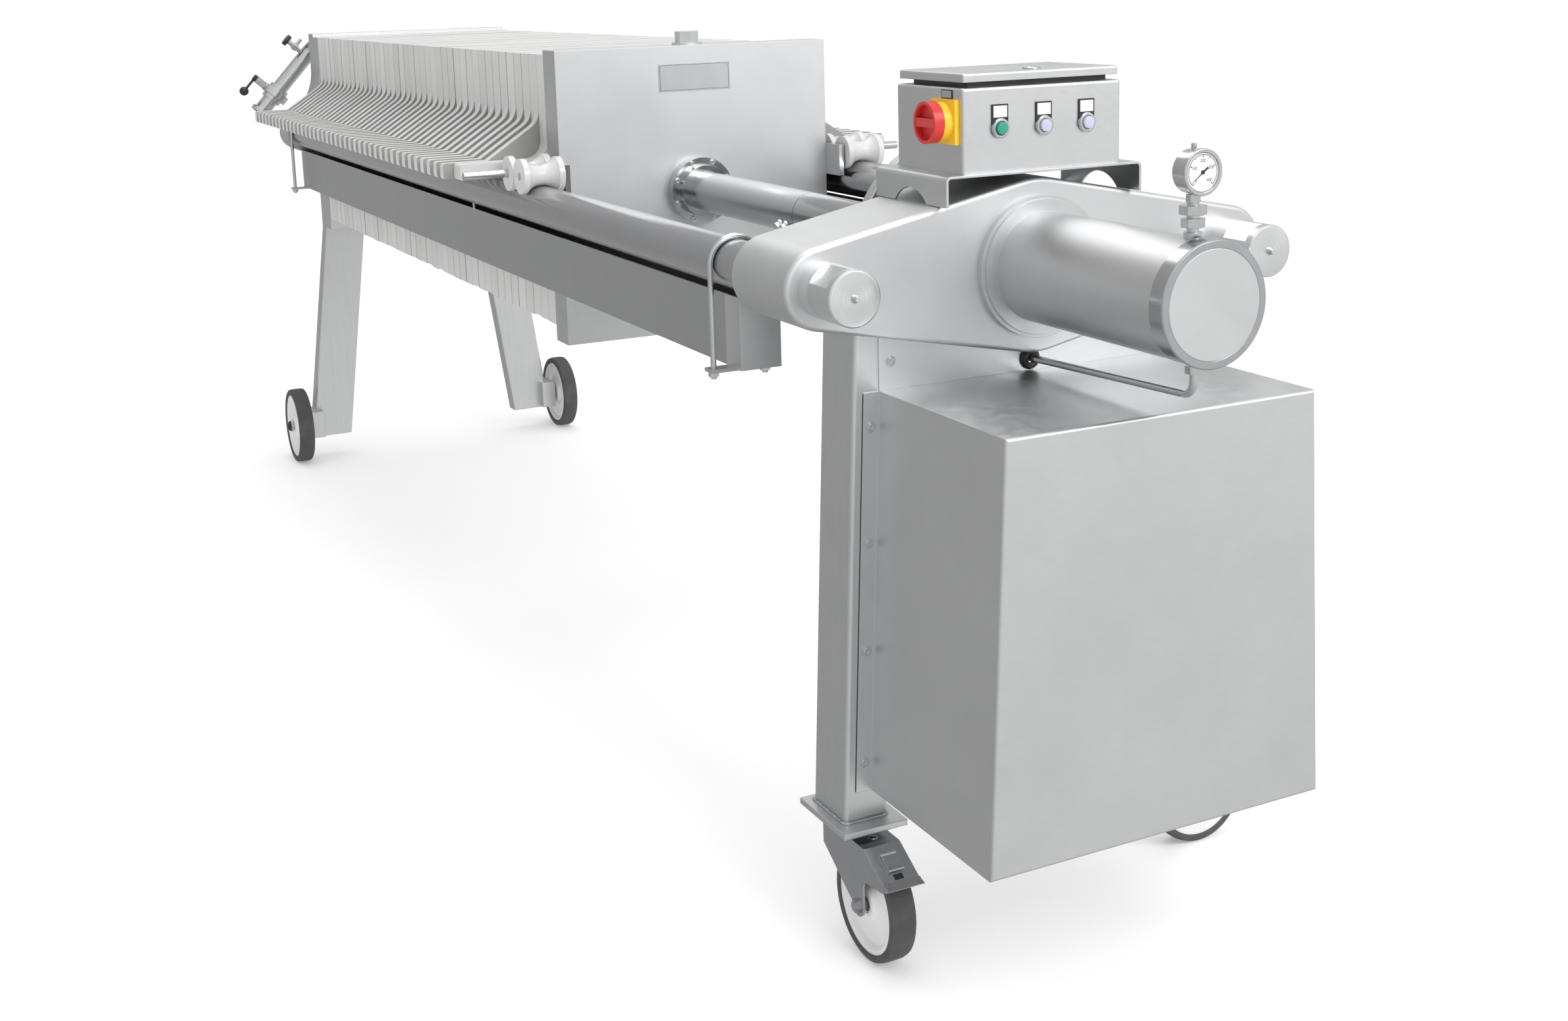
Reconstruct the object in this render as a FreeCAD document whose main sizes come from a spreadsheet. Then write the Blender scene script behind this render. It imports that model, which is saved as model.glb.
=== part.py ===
"""Plate filter press on wheels: a pack of plates hung on two round bars and closed by a hydraulic ram.

X runs along the press from the fixed head to the ram, Y across it and Z up from the floor.
The origin is on the floor, under the middle of the press.
"""
import FreeCAD, Part
import math
import os
from types import SimpleNamespace
import Sketcher
from FreeCAD import Placement, Rotation, Vector

X_AXIS = Vector(1, 0, 0)
Y_AXIS = Vector(0, 1, 0)
Z_AXIS = Vector(0, 0, 1)
SIDES = {"left": -1, "right": 1}

# Driving sizes: millimetres and degrees.
SIZES = {
    # the line of the ram and the bars
    "axis_height": 1123, "bar_clearance": 21.5, "bar_diameter": 85, "spigot_diameter": 60,
    "spigot_play": 0.5, "face_gap": 0.3,
    "nut_diameter": 88, "nut_length": 100, "rear_nut_length": 45, "nut_flat": 76,
    # stations along the press
    "plate_count": 41, "plate_pitch": 54.1, "end_plate_thickness": 51,
    "fixed_head_thickness": 65, "inlet_plate_thickness": 65, "moving_head_thickness": 76,
    "rod_length": 1158, "crosshead_thickness": 195, "ram_length": 433,
    # heads
    "head_width": 658, "head_height": 650, "inlet_rise": 315, "ear_radius": 57, "ear_flare": 207,
    "port_offset": 287,
    "plug_flat": 46, "plug_height": 30, "plug_washer": 34, "washer_thickness": 5,
    # filter plates and the plate at their end
    "plate_width": 656, "plate_rise": 315, "plate_drop": 290, "ear_thickness": 27,
    "handle_overhang": 161, "handle_depth": 35, "handle_top": 86, "shoe_width": 44,
    "gusset_rise": 80, "gusset_slope": 33, "gusset_fillet": 42, "handle_round": 6,
    "end_handle_overhang": 138, "end_handle_fillet": 38, "loose_plates": 2,
    # crosshead and ram
    "crosshead_middle": 143, "crosshead_end": 66, "crosshead_fillet": 8,
    "barrel_diameter": 180, "barrel_wall": 19, "cap_overhang": 3, "cap_length": 30,
    "cap_recess": 3, "collar_width": 26, "collar_length": 12,
    "gland_diameter": 380, "gland_length": 25, "gland_gap": 62, "gland_step": 15,
    "rod_diameter": 90, "rod_play": 0.5, "rod_tail": 240,
    "rod_flange_diameter": 150, "rod_flange_length": 25, "rod_collar_diameter": 118,
    "rod_collar_length": 22, "rod_seam": 558, "rod_seam_width": 3, "rod_seam_depth": 1.5,
    # rollers that carry the moving head
    "roller_diameter": 76, "roller_waist": 44, "roller_length": 92, "roller_pin": 18,
    "roller_play": 0.3, "roller_front": 48, "roller_spacing": 81, "rear_pin_overhang": 145,
    "pin_recess": 12, "carrier_thickness": 12, "carrier_below": 52, "carrier_above": 20,
    "carrier_ahead": 66, "carrier_gap": 2,
    # drip gutters
    "gutter_outside": 16, "gutter_inside": 8.7, "gutter_bottom": 950, "gutter_top": 1072,
    "gutter_sheet": 2, "gutter_start": 3, "gutter_end": 75, 
    "hanger_rod": 10, "hanger_play": 0.3, "hanger_start": 13.4, "hanger_end": 118,
    "strap_height": 6, "strap_width": 30, "hanger_nut": 16, "hanger_nut_height": 8,
    # front pillars, panel and power unit cover
    "pillar_depth": 109, "pillar_width": 80, "pillar_setback": 29, "pillar_foot": 229.5,
    "pillar_reach": 360.5, "pillar_round": 7, "pillar_lean": 2.53, "foot_plate": 10,
    "foot_plate_length": 158, "foot_plate_width": 117, "foot_plate_back": 15,
    "cover_top": 946, "cover_bottom": 280, "cover_depth": 361, "cover_top_width": 566,
    "cover_bottom_width": 622, "cover_round": 5, "cover_flange": 28,
    "panel_sheet": 2, "grommet_radius": 10,
    # rear legs and wheels
    "leg_width": 131, "leg_thickness": 60, "leg_setback": 7, "leg_foot": 75, "leg_reach": 427,
    "leg_lean": 7.55, "leg_round": 5, "axle_plate_length": 96, "axle_plate_height": 90,
    "rear_wheel_radius": 125, "rear_wheel_width": 50, "rear_track": 943, "rear_axle_radius": 12,
    "rear_axle_ahead": 60, "wheel_gap": 5.5, "hub_dish": 12, "axle_play": 0.3, "rear_tread": 20,
    # front casters
    "caster_radius": 97, "caster_width": 48, "front_tread": 12, "caster_trail": 75,
    "caster_plate": 4, "caster_plate_length": 136, "caster_plate_width": 104,
    "swivel_spacing": 641, "swivel_setback": 77, "bearing_radius": 36, "bearing_height": 9,
    "fork_sheet": 4, "fork_gap": 5.5, "fork_back": 42, "fork_boss": 18, "bonnet_bend": 23,
    "bonnet_reach": 93, "bonnet_drop": 40, "bonnet_roll": 3.5, "caster_axle_radius": 8,
    # control box
    "box_width": 300, "box_depth": 201, "box_height": 134, "box_front": 13, "box_wall": 3,
    "box_round": 5, "neck_height": 8, "neck_inset": 22, "lid_height": 14, "lid_inset": 3,
    "hinge_pin": 2, "hinge_radius": 4, "hinge_length": 40, "hinge_spread": 90, "hinge_drop": 24,
    "lid_round": 4, "bracket_width": 372, "bracket_depth": 220, "bracket_top": 1281,
    "bracket_sheet": 4, "bracket_bend": 9, "notch_width": 100, "notch_height": 24,
    "switch_plate": 70, "switch_plate_thickness": 8, "switch_collar": 31, "collar_reach": 16,
    "switch_back": 44.5, "switch_height": 81, "knob_radius": 33, "knob_length": 18, "grip_width": 14,
    "button_spacing": 82, "button_height": 69,
    "button_radius": 10, "button_reach": 9, "bezel_radius": 14, "bezel_length": 5,
    "button_travel": 3, "button_play": 0.4,
    # pressure gauge and oil pipe
    "gauge_radius": 33.5, "gauge_depth": 30, "gauge_height": 1307, "gauge_back": 29, "stem_ahead": 8,
    "fitting_radius": 9, "fitting_hex": 30, "pipe_radius": 6, "pipe_bend": 22,
    "pipe_drop": 50, "pipe_back": 44, "pipe_fall": 17, "pipe_nut": 22,
    # outlet pipe and valve behind the fixed head
    "valve_offset": 98, "valve_radius": 45, "outlet_radius": 25.5, "outlet_wall": 1.5,
    "seat_step": 0.5, "seat_margin": 2, "disc_thickness": 3, "outlet_slope": 47.4,
    "elbow_radius": 40, "valve_run": 220, "valve_length": 24,
    "outlet_run": 304, "ferrule_radius": 33, "ferrule_length": 14, "neck_length": 85,
    "neck_radius": 12, "stem_radius": 5, "lever_length": 58, "lever_radius": 4, "ball_radius": 15,
    "sample_run": 52, "sample_length": 88, "sample_radius": 8, "handwheel_radius": 19,
    "handwheel_depth": 12,
}


class Measure:
    """A size together with the sheet formula that gives it, so that features can be bound to it."""

    def __init__(self, value, formula):
        self.value = float(value)
        self.formula = formula

    def joined(self, other, sign, value):
        return Measure(value, f"({self.formula} {sign} {measure(other).formula})")

    def __add__(self, other):
        return self.joined(other, "+", self.value + float(other))

    def __sub__(self, other):
        return self.joined(other, "-", self.value - float(other))

    def __mul__(self, other):
        return self.joined(other, "*", self.value * float(other))

    def __truediv__(self, other):
        return self.joined(other, "/", self.value / float(other))

    def __radd__(self, other):
        return measure(other) + self

    def __rsub__(self, other):
        return measure(other) - self

    def __rmul__(self, other):
        return measure(other) * self

    def __neg__(self):
        return Measure(-self.value, f"(-1 * {self.formula})")

    def __float__(self):
        return self.value


def measure(amount):
    return amount if isinstance(amount, Measure) else Measure(amount, repr(float(amount)))


def called(name, amount, value):
    """A function of the sheet applied to a measure."""
    return Measure(value, f"{name}({amount.formula})")


def sine(angle):
    return called("sin", angle, math.sin(math.radians(angle.value)))


def cosine(angle):
    return called("cos", angle, math.cos(math.radians(angle.value)))


def tangent(angle):
    return called("tan", angle, math.tan(math.radians(angle.value)))


def root(amount):
    return called("sqrt", amount, math.sqrt(amount.value))


doc = FreeCAD.newDocument("PlateFilterPress")
sheet = doc.addObject("Spreadsheet::Sheet", "Dimensions")
for row, (alias, value) in enumerate(SIZES.items(), start=1):
    sheet.set(f"A{row}", alias)
    sheet.set(f"B{row}", str(value))
    sheet.setAlias(f"B{row}", alias)
doc.recompute()
d = SimpleNamespace(**{alias: Measure(sheet.get(alias), f"Dimensions.{alias}") for alias in SIZES})
nodes = []


# ---- making shapes ----
def keep(item, label):
    """Register a finished sub-part under the name of its file."""
    item.Label = label
    nodes.append(item)
    return item


def bind(item, name, amount):
    item.setExpression(name, measure(amount).formula)


def at(position, direction=Z_AXIS):
    """Placement at a position, with the local Z axis along the direction."""
    return Placement(Vector(*map(float, position)), Rotation(Z_AXIS, Vector(*direction)))


def block(length, width, height, corner):
    item = doc.addObject("Part::Box", "Block")
    bind(item, "Length", length)
    bind(item, "Width", width)
    bind(item, "Height", height)
    item.Placement = at(corner)
    return item


def rod(radius, length, base, direction=Z_AXIS):
    item = doc.addObject("Part::Cylinder", "Rod")
    bind(item, "Radius", radius)
    bind(item, "Height", length)
    item.Placement = at(base, direction)
    return item


def ball(radius, centre):
    item = doc.addObject("Part::Sphere", "Ball")
    bind(item, "Radius", radius)
    item.Placement = at(centre)
    return item


def bend(radius, thickness, angle, centre, start, axis):
    """Bent rod: it leaves the start direction, as seen from the centre, and turns about the axis."""
    item = doc.addObject("Part::Torus", "Bend")
    bind(item, "Radius1", radius)
    bind(item, "Radius2", thickness)
    bind(item, "Angle3", angle)
    turn = Rotation(Vector(*start), axis.cross(Vector(*start)), axis, "ZXY")
    item.Placement = Placement(Vector(*map(float, centre)), turn)
    return item


def hexagon(across, length, base, direction=Z_AXIS):
    """Hexagonal prism of a size across its flats."""
    item = doc.addObject("Part::Prism", "Hexagon")
    item.Polygon = 6
    bind(item, "Circumradius", measure(across) / math.sqrt(3))
    bind(item, "Height", length)
    item.Placement = at(base, direction)
    return item


def fuse(parts):
    item = doc.addObject("Part::MultiFuse", "Joined")
    item.Shapes = parts
    return item


def cut(base, tools):
    item = doc.addObject("Part::Cut", "Cutout")
    item.Base = base
    item.Tool = tools[0] if len(tools) == 1 else fuse(tools)
    return item


def group(parts):
    """Like pieces that share a node and don't touch."""
    item = doc.addObject("Part::Compound", "Group")
    item.Links = parts
    return item


def fixed_length(sketch, kind, geometry, amount):
    """Dimension a sketch from the sheet."""
    mark = sketch.addConstraint(Sketcher.Constraint(kind, *geometry, float(amount)))
    sketch.setExpression(f"Constraints[{mark}]", measure(amount).formula)


def draw_outline(sketch, corners):
    """Closed outline. A corner is (x, y), or (x, y, radius) where an arc leads on to the next one.

    The arc's centre lies left of its chord for a positive radius and right of it for a negative one.
    """
    spots = [Vector(float(corner[0]), float(corner[1]), 0) for corner in corners]
    ends = []
    for index, corner in enumerate(corners):
        start = spots[index]
        stop = spots[(index + 1) % len(spots)]
        if len(corner) == 2:
            edge = sketch.addGeometry(Part.LineSegment(start, stop))
            ends.append((edge, 1, 2))
            continue
        radius = float(corner[2])
        chord = stop - start
        depth = math.sqrt(max(radius ** 2 - chord.Length ** 2 / 4, 0))
        inward = Vector(-chord.y, chord.x, 0).normalize()
        centre = (start + stop) * 0.5 + inward * math.copysign(depth, radius)
        first, last = (start, stop) if radius > 0 else (stop, start)
        begin = math.atan2(first.y - centre.y, first.x - centre.x)
        finish = math.atan2(last.y - centre.y, last.x - centre.x)
        if finish < begin:
            finish += 2 * math.pi
        circle = Part.Circle(centre, Z_AXIS, abs(radius))
        edge = sketch.addGeometry(Part.ArcOfCircle(circle, begin, finish))
        ends.append((edge, 1, 2) if radius > 0 else (edge, 2, 1))
        fixed_length(sketch, "Radius", (edge,), corner[2] if radius > 0 else -corner[2])
    for index, (edge, head, tail) in enumerate(ends):
        following, start, _ = ends[(index + 1) % len(ends)]
        sketch.addConstraint(Sketcher.Constraint("Coincident", edge, tail, following, start))
        fixed_length(sketch, "DistanceX", (-1, 1, edge, head), corners[index][0])
        fixed_length(sketch, "DistanceY", (-1, 1, edge, head), corners[index][1])


def new_sketch(body, plane, corners, holes=()):
    """Sketch on an origin plane of its body: an outline, and round holes as (x, y, radius)."""
    sketch = body.newObject("Sketcher::SketchObject", "Outline")
    origin_plane = next(item for item in body.Origin.OriginFeatures if item.Role == plane)
    sketch.AttachmentSupport = [(origin_plane, "")]
    sketch.MapMode = "FlatFace"
    draw_outline(sketch, corners)
    for across, up, radius in holes:
        centre = Vector(float(across), float(up), 0)
        edge = sketch.addGeometry(Part.Circle(centre, Z_AXIS, float(radius)))
        fixed_length(sketch, "Radius", (edge,), radius)
        fixed_length(sketch, "DistanceX", (-1, 1, edge, 3), across)
        fixed_length(sketch, "DistanceY", (-1, 1, edge, 3), up)
    return sketch


def add_pad(body, plane, corners, thickness, holes=(), centred=False):
    pad = body.newObject("PartDesign::Pad", "Pad")
    pad.Profile = new_sketch(body, plane, corners, holes)
    bind(pad, "Length", thickness)
    pad.Midplane = centred
    return pad


def plate(corners, thickness, base, holes=(), plane="YZ_Plane", centred=False):
    """Plate cut to an outline, standing across the press unless another plane is named."""
    body = doc.addObject("PartDesign::Body", "Plate")
    add_pad(body, plane, corners, thickness, holes, centred)
    body.Placement = at(base)
    return body


def turned(profile, base, direction=X_AXIS):
    """Round piece: a profile of (radius, distance) corners turned about the direction."""
    body = doc.addObject("PartDesign::Body", "Turned")
    turning = body.newObject("PartDesign::Revolution", "Turning")
    turning.Profile = new_sketch(body, "XZ_Plane", profile)
    turning.ReferenceAxis = (turning.Profile[0], ["V_Axis"])
    turning.Angle = 360
    body.Placement = at(base, direction)
    return body


def rounded(item, radius, chosen):
    """Part::Fillet on the edges that the test picks."""
    doc.recompute()
    fillet = doc.addObject("Part::Fillet", "Rounded")
    fillet.Base = item
    picked = [index for index, edge in enumerate(item.Shape.Edges, start=1) if chosen(edge)]
    fillet.Edges = [(index, float(radius), float(radius)) for index in picked]
    return fillet


def runs_up(edge):
    """True for the long upright edges of a leg."""
    span = edge.BoundBox
    return span.ZLength > 3 * max(span.XLength, span.YLength)


# ---- stations along the press ----
pack_length = d.plate_count * d.plate_pitch
overall_length = (
    d.valve_radius + d.valve_offset + d.fixed_head_thickness + d.inlet_plate_thickness + pack_length
    + d.end_plate_thickness + d.face_gap + d.moving_head_thickness + d.rod_length
    + d.crosshead_thickness + d.ram_length)
x_fixed = d.valve_radius + d.valve_offset - overall_length / 2
x_inlet = x_fixed + d.fixed_head_thickness
x_pack = x_inlet + d.inlet_plate_thickness
x_end_plate = x_pack + pack_length
x_head = x_end_plate + d.end_plate_thickness + d.face_gap
x_head_front = x_head + d.moving_head_thickness
x_crosshead = x_head_front + d.rod_length
x_crosshead_front = x_crosshead + d.crosshead_thickness
x_ram_end = x_crosshead_front + d.ram_length
bar_y = d.plate_width / 2 + d.bar_diameter / 2 + d.bar_clearance
handle_reach = bar_y + d.handle_overhang
end_handle_reach = bar_y + d.end_handle_overhang
rear_pin_reach = bar_y + d.rear_pin_overhang
bar_top = d.axis_height + d.bar_diameter / 2


# ---- fixed head and inlet plate ----
def mirrored(right):
    """The same outline on the other side of the press, with its corners and arcs in reverse."""
    left = []
    for index in range(len(right) - 1, -1, -1):
        arc = right[index - 1][2:] if index > 0 else ()
        left.append((-right[index][0], right[index][1], *arc))
    return left


def eared_outline(width, top):
    """Square plate with an ear round each bar: a flare from the side runs tangent into the ear."""
    half = width / 2
    inset = bar_y - half
    flare = (inset * inset + d.ear_flare * d.ear_flare - d.ear_radius * d.ear_radius) / (
        2 * (inset + d.ear_radius))
    share = d.ear_radius / (flare + d.ear_radius)
    touch_y = bar_y + share * (half + flare - bar_y)
    touch_z = share * d.ear_flare
    right = [
        (half, -d.head_height / 2), (half, -d.ear_radius), (bar_y, -d.ear_radius, d.ear_radius),
        (touch_y, touch_z, -flare), (half, d.ear_flare), (half, top),
    ]
    return right + mirrored(right)


spigot_hole = d.spigot_diameter / 2 + d.spigot_play
spigot_holes = [(bar_y * sign, 0, spigot_hole) for sign in SIDES.values()]
outlet_bore = d.outlet_radius - d.outlet_wall
port_hole = (-d.port_offset, d.port_offset, outlet_bore)
keep(plate(eared_outline(d.head_width, d.head_height / 2), d.fixed_head_thickness,
           (x_fixed, 0, d.axis_height), [*spigot_holes, port_hole]), "fixed_head")
keep(plate(eared_outline(d.head_width, d.inlet_rise), d.inlet_plate_thickness,
           (x_inlet, 0, d.axis_height), spigot_holes), "inlet_plate")


# ---- guide bars and their nuts ----
def guide_bar(sign):
    """Round bar with a long spigot at each end, for the heads to seat against its shoulders."""
    spigot = d.spigot_diameter / 2
    rear = d.fixed_head_thickness + d.inlet_plate_thickness + d.rear_nut_length * 0.7
    shoulder = x_crosshead - x_pack
    front = shoulder + d.crosshead_thickness + d.nut_length * 0.8
    profile = [
        (0, -rear), (spigot, -rear), (spigot, 0), (d.bar_diameter / 2, 0),
        (d.bar_diameter / 2, shoulder), (spigot, shoulder), (spigot, front), (0, front),
    ]
    return turned(profile, (x_pack, bar_y * sign, d.axis_height))


keep(group([guide_bar(sign) for sign in SIDES.values()]), "guide_bars")


def bar_nut(x_seat, sign, facing, length):
    """Closed round nut with two wrench flats and a small nipple in its turned face."""
    radius = d.nut_diameter / 2
    chamfer = 2
    depth = length * 0.8 + 2
    profile = [
        (spigot_hole, 0), (radius, 0), (radius, length - chamfer), (radius - chamfer, length),
        (6, length), (6, length + 4), (4, length + 9), (0, length + 9), (0, depth), (spigot_hole, depth),
    ]
    nut = turned(profile, (x_seat, bar_y * sign, d.axis_height), (facing, 0, 0))
    flats = []
    for turn in (35, 215):
        flat = block(length * 0.55, d.nut_diameter, d.nut_diameter / 2, (0, 0, 0))
        swing = Rotation(X_AXIS, turn)
        near = x_seat + (length * 0.3 if facing > 0 else -(length * 0.85))
        corner = swing.multVec(Vector(0, -radius.value, d.nut_flat.value / 2))
        centre = Vector(near.value, bar_y.value * sign, d.axis_height.value)
        flat.Placement = Placement(centre + corner, swing)
        flats.append(flat)
    return cut(nut, flats)


front_nuts = [bar_nut(x_crosshead_front, sign, 1, d.nut_length) for sign in SIDES.values()]
rear_nuts = [bar_nut(x_fixed, sign, -1, d.rear_nut_length) for sign in SIDES.values()]
keep(group(front_nuts + rear_nuts), "bar_nuts")


# ---- filter plates ----
def handle_outline():
    """Both handles in one outline: gusset, handle and the shoe that hangs on the bar."""
    half = d.plate_width / 2
    root_z = d.handle_top + d.gusset_rise
    bend = (90 - d.gusset_slope) / 2
    reach = d.gusset_fillet * tangent(bend)
    gusset_y = half + d.gusset_rise / tangent(d.gusset_slope)
    under = d.handle_top - d.handle_depth
    shoe = d.bar_diameter / 2 + d.face_gap
    tip = handle_reach - d.handle_round
    right = [
        (bar_y - d.shoe_width / 2, under), (bar_y - d.shoe_width / 2, shoe),
        (bar_y + d.shoe_width / 2, shoe), (bar_y + d.shoe_width / 2, under),
        (tip, under, d.handle_round), (handle_reach, under + d.handle_round),
        (handle_reach, d.handle_top - d.handle_round, d.handle_round), (tip, d.handle_top),
        (gusset_y, d.handle_top),
        (half + reach * cosine(d.gusset_slope), root_z - reach * sine(d.gusset_slope), -d.gusset_fillet),
        (half, root_z + reach),
    ]
    return right + mirrored(right)


def plate_block():
    half = d.plate_width / 2
    return [(-half, -d.plate_drop), (half, -d.plate_drop), (half, d.plate_rise), (-half, d.plate_rise)]


def filter_plates(first, count):
    """A run of plates: one plate with its two handles, repeated at the pitch."""
    body = doc.addObject("PartDesign::Body", "FilterPlate")
    body.AllowCompound = True
    thickness = d.plate_pitch - d.face_gap
    square = add_pad(body, "YZ_Plane", plate_block(), thickness)
    handles = add_pad(body, "YZ_Plane", handle_outline(), d.ear_thickness)
    bind(handles.Profile[0], "AttachmentOffset.Base.z", thickness - d.ear_thickness)
    doc.recompute()
    if float(count) > 1:
        row = body.newObject("PartDesign::LinearPattern", "Row")
        row.Originals = [square, handles]
        row.Direction = (square.Profile[0], ["N_Axis"])
        row.Mode = "Spacing"
        bind(row, "Offset", d.plate_pitch)
        bind(row, "Occurrences", count)
        body.Tip = row
    body.Placement = at((x_pack + d.face_gap + d.plate_pitch * first, 0, d.axis_height))
    return body


rear_run = 19
front_run = d.plate_count - rear_run - d.loose_plates
keep(filter_plates(0, measure(rear_run)), "filter_plates_rear")
keep(filter_plates(rear_run, front_run), "filter_plates_front")
for index in range(int(d.loose_plates.value)):
    place = d.plate_count - d.loose_plates + index
    keep(filter_plates(place, measure(1)), f"loose_plate_{index + 1}")


def end_plate_outline():
    """Plate at the end of the pack: its handles run out of small fillets."""
    half = d.plate_width / 2
    under = d.handle_top - d.handle_depth
    shoe = d.bar_diameter / 2 + d.face_gap
    tip = end_handle_reach - d.handle_round
    right = [
        (half, -d.plate_drop), (half, under), (bar_y - d.shoe_width / 2, under),
        (bar_y - d.shoe_width / 2, shoe), (bar_y + d.shoe_width / 2, shoe),
        (bar_y + d.shoe_width / 2, under), (tip, under, d.handle_round),
        (end_handle_reach, under + d.handle_round),
        (end_handle_reach, d.handle_top - d.handle_round, d.handle_round), (tip, d.handle_top),
        (half + d.end_handle_fillet, d.handle_top, -d.end_handle_fillet),
        (half, d.handle_top + d.end_handle_fillet), (half, d.plate_rise),
    ]
    return right + mirrored(right)


keep(plate(end_plate_outline(), d.end_plate_thickness,
           (x_end_plate + d.face_gap, 0, d.axis_height)), "end_plate")


# ---- moving head, ram rod and rollers ----
half_head = d.head_width / 2
head_top = d.axis_height + d.head_height / 2
plug_x = x_head + d.moving_head_thickness / 2
head_plate = plate([(-half_head, -d.head_height / 2), (half_head, -d.head_height / 2),
                    (half_head, d.head_height / 2), (-half_head, d.head_height / 2)],
                   d.moving_head_thickness, (x_head, 0, d.axis_height))
plug_washer = rod(d.plug_washer, d.washer_thickness, (plug_x, 0, head_top))
plug = hexagon(d.plug_flat, d.plug_height, (plug_x, 0, head_top))
keep(fuse([head_plate, plug_washer, plug]), "moving_head")


def push_rod():
    """Ram rod: flange and collar at the head, a turned seam along it, and its tail in the cylinder."""
    radius = d.rod_diameter / 2
    flange = d.rod_flange_length
    collar = flange + d.rod_collar_length
    groove = radius - d.rod_seam_depth
    end = d.rod_length + d.crosshead_thickness - d.rod_tail + d.ram_length / 2
    profile = [
        (0, 0), (d.rod_flange_diameter / 2, 0), (d.rod_flange_diameter / 2, flange),
        (d.rod_collar_diameter / 2, flange), (d.rod_collar_diameter / 2, collar), (radius, collar),
        (radius, d.rod_seam), (groove, d.rod_seam), (groove, d.rod_seam + d.rod_seam_width),
        (radius, d.rod_seam + d.rod_seam_width), (radius, end), (0, end),
    ]
    return turned(profile, (x_head_front, 0, d.axis_height))


keep(push_rod(), "push_rod")

groove_radius = d.bar_diameter / 2 + d.face_gap
roller_rise = groove_radius + d.roller_waist / 2
roller_z = d.axis_height + roller_rise
roller_places = {"front": x_head_front + d.roller_front,
                 "rear": x_head_front + d.roller_front - d.roller_spacing}
carrier_inner = half_head + d.carrier_gap


def roller():
    """Roller with a groove that follows the bar it runs on."""
    end = d.roller_length / 2
    radius = d.roller_diameter / 2
    bore = d.roller_pin / 2 + d.roller_play
    fall = roller_rise - radius
    lip = root(groove_radius * groove_radius - fall * fall)
    return [
        (bore, -end), (radius, -end), (radius, -lip, -groove_radius), (radius, lip),
        (radius, end), (bore, end),
    ]


def roller_carrier(sign):
    """Bracket plate on the side of the moving head, with the pins of its two rollers."""
    front = x_head_front + d.carrier_ahead
    inner = carrier_inner - d.carrier_gap
    low = roller_z - d.carrier_below
    side = block(front - x_head, d.carrier_thickness, d.carrier_below + d.carrier_above,
                 (x_head, inner if sign > 0 else -inner - d.carrier_thickness, low))
    seat = inner + d.carrier_thickness
    far_end = bar_y + d.roller_length / 2
    pins = []
    for name, reach in (("front", far_end - d.pin_recess), ("rear", rear_pin_reach)):
        pins.append(rod(d.roller_pin / 2, reach - seat + 2,
                        (roller_places[name], (seat - 2) * sign, roller_z), (0, sign, 0)))
    return fuse([side, *pins])


keep(group([roller_carrier(sign) for sign in SIDES.values()]), "roller_carriers")
for side, sign in SIDES.items():
    for place, x_roller in roller_places.items():
        keep(turned(roller(), (x_roller, bar_y * sign, roller_z), Y_AXIS), f"roller_{place}_{side}")


# ---- crosshead and ram cylinder ----
def crosshead_slope():
    """Sine of the slope of the crosshead's edges, which run tangent from its middle to its ends."""
    return (d.crosshead_middle - d.crosshead_end) / bar_y


def crosshead():
    lean = crosshead_slope()
    level = root(1 - lean * lean)
    end_y = bar_y + d.crosshead_end * lean
    end_z = d.crosshead_end * level
    middle_y = d.crosshead_middle * lean
    middle_z = d.crosshead_middle * level
    corners = [
        (end_y, -end_z, d.crosshead_end), (end_y, end_z),
        (middle_y, middle_z, d.crosshead_middle), (-middle_y, middle_z),
        (-end_y, end_z, d.crosshead_end), (-end_y, -end_z),
        (-middle_y, -middle_z, d.crosshead_middle), (middle_y, -middle_z),
    ]
    bore = (0, 0, d.barrel_diameter / 2)
    body = doc.addObject("PartDesign::Body", "Crosshead")
    add_pad(body, "YZ_Plane", corners, d.crosshead_thickness, [*spigot_holes, bore])
    body.Placement = at((x_crosshead, 0, d.axis_height))
    return rounded(body, d.crosshead_fillet,
                   lambda edge: edge.BoundBox.XLength < 1e-6 and not edge.isClosed())


keep(crosshead(), "crosshead")


def ram_cylinder():
    """Barrel through the crosshead: stepped collar in front of it, neck and gland disc behind it."""
    outer = d.barrel_diameter / 2
    bore = outer - d.barrel_wall
    front = d.crosshead_thickness + d.ram_length - d.cap_length
    collar = outer + d.collar_width
    collar_end = d.crosshead_thickness + d.collar_length
    gland = d.gland_diameter / 2
    gland_front = -d.gland_gap
    gland_back = gland_front - d.gland_length
    passage = d.rod_diameter / 2 + d.rod_play
    profile = [
        (passage, gland_back), (gland - 2, gland_back), (gland, gland_back + 2),
        (gland, gland_front - 2), (gland - 2, gland_front), (outer - d.gland_step, gland_front),
        (outer - d.gland_step, 0), (outer, 0), (outer, d.crosshead_thickness),
        (collar, d.crosshead_thickness), (collar, collar_end), (collar - 6, collar_end),
        (collar - 6, collar_end + 4), (outer, collar_end + 4), (outer, front), (bore, front),
        (bore, 0), (passage, 0),
    ]
    return turned(profile, (x_crosshead, 0, d.axis_height))


keep(ram_cylinder(), "ram_cylinder")
cap = d.barrel_diameter / 2 + d.cap_overhang
keep(turned([(0, 0), (cap - 1, 0), (cap, 1), (cap, d.cap_length - 2), (cap - 2, d.cap_length),
             (cap - 12, d.cap_length), (cap - 14, d.cap_length - d.cap_recess),
             (0, d.cap_length - d.cap_recess)],
            (x_ram_end - d.cap_length, 0, d.axis_height)), "cylinder_cap")


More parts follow.
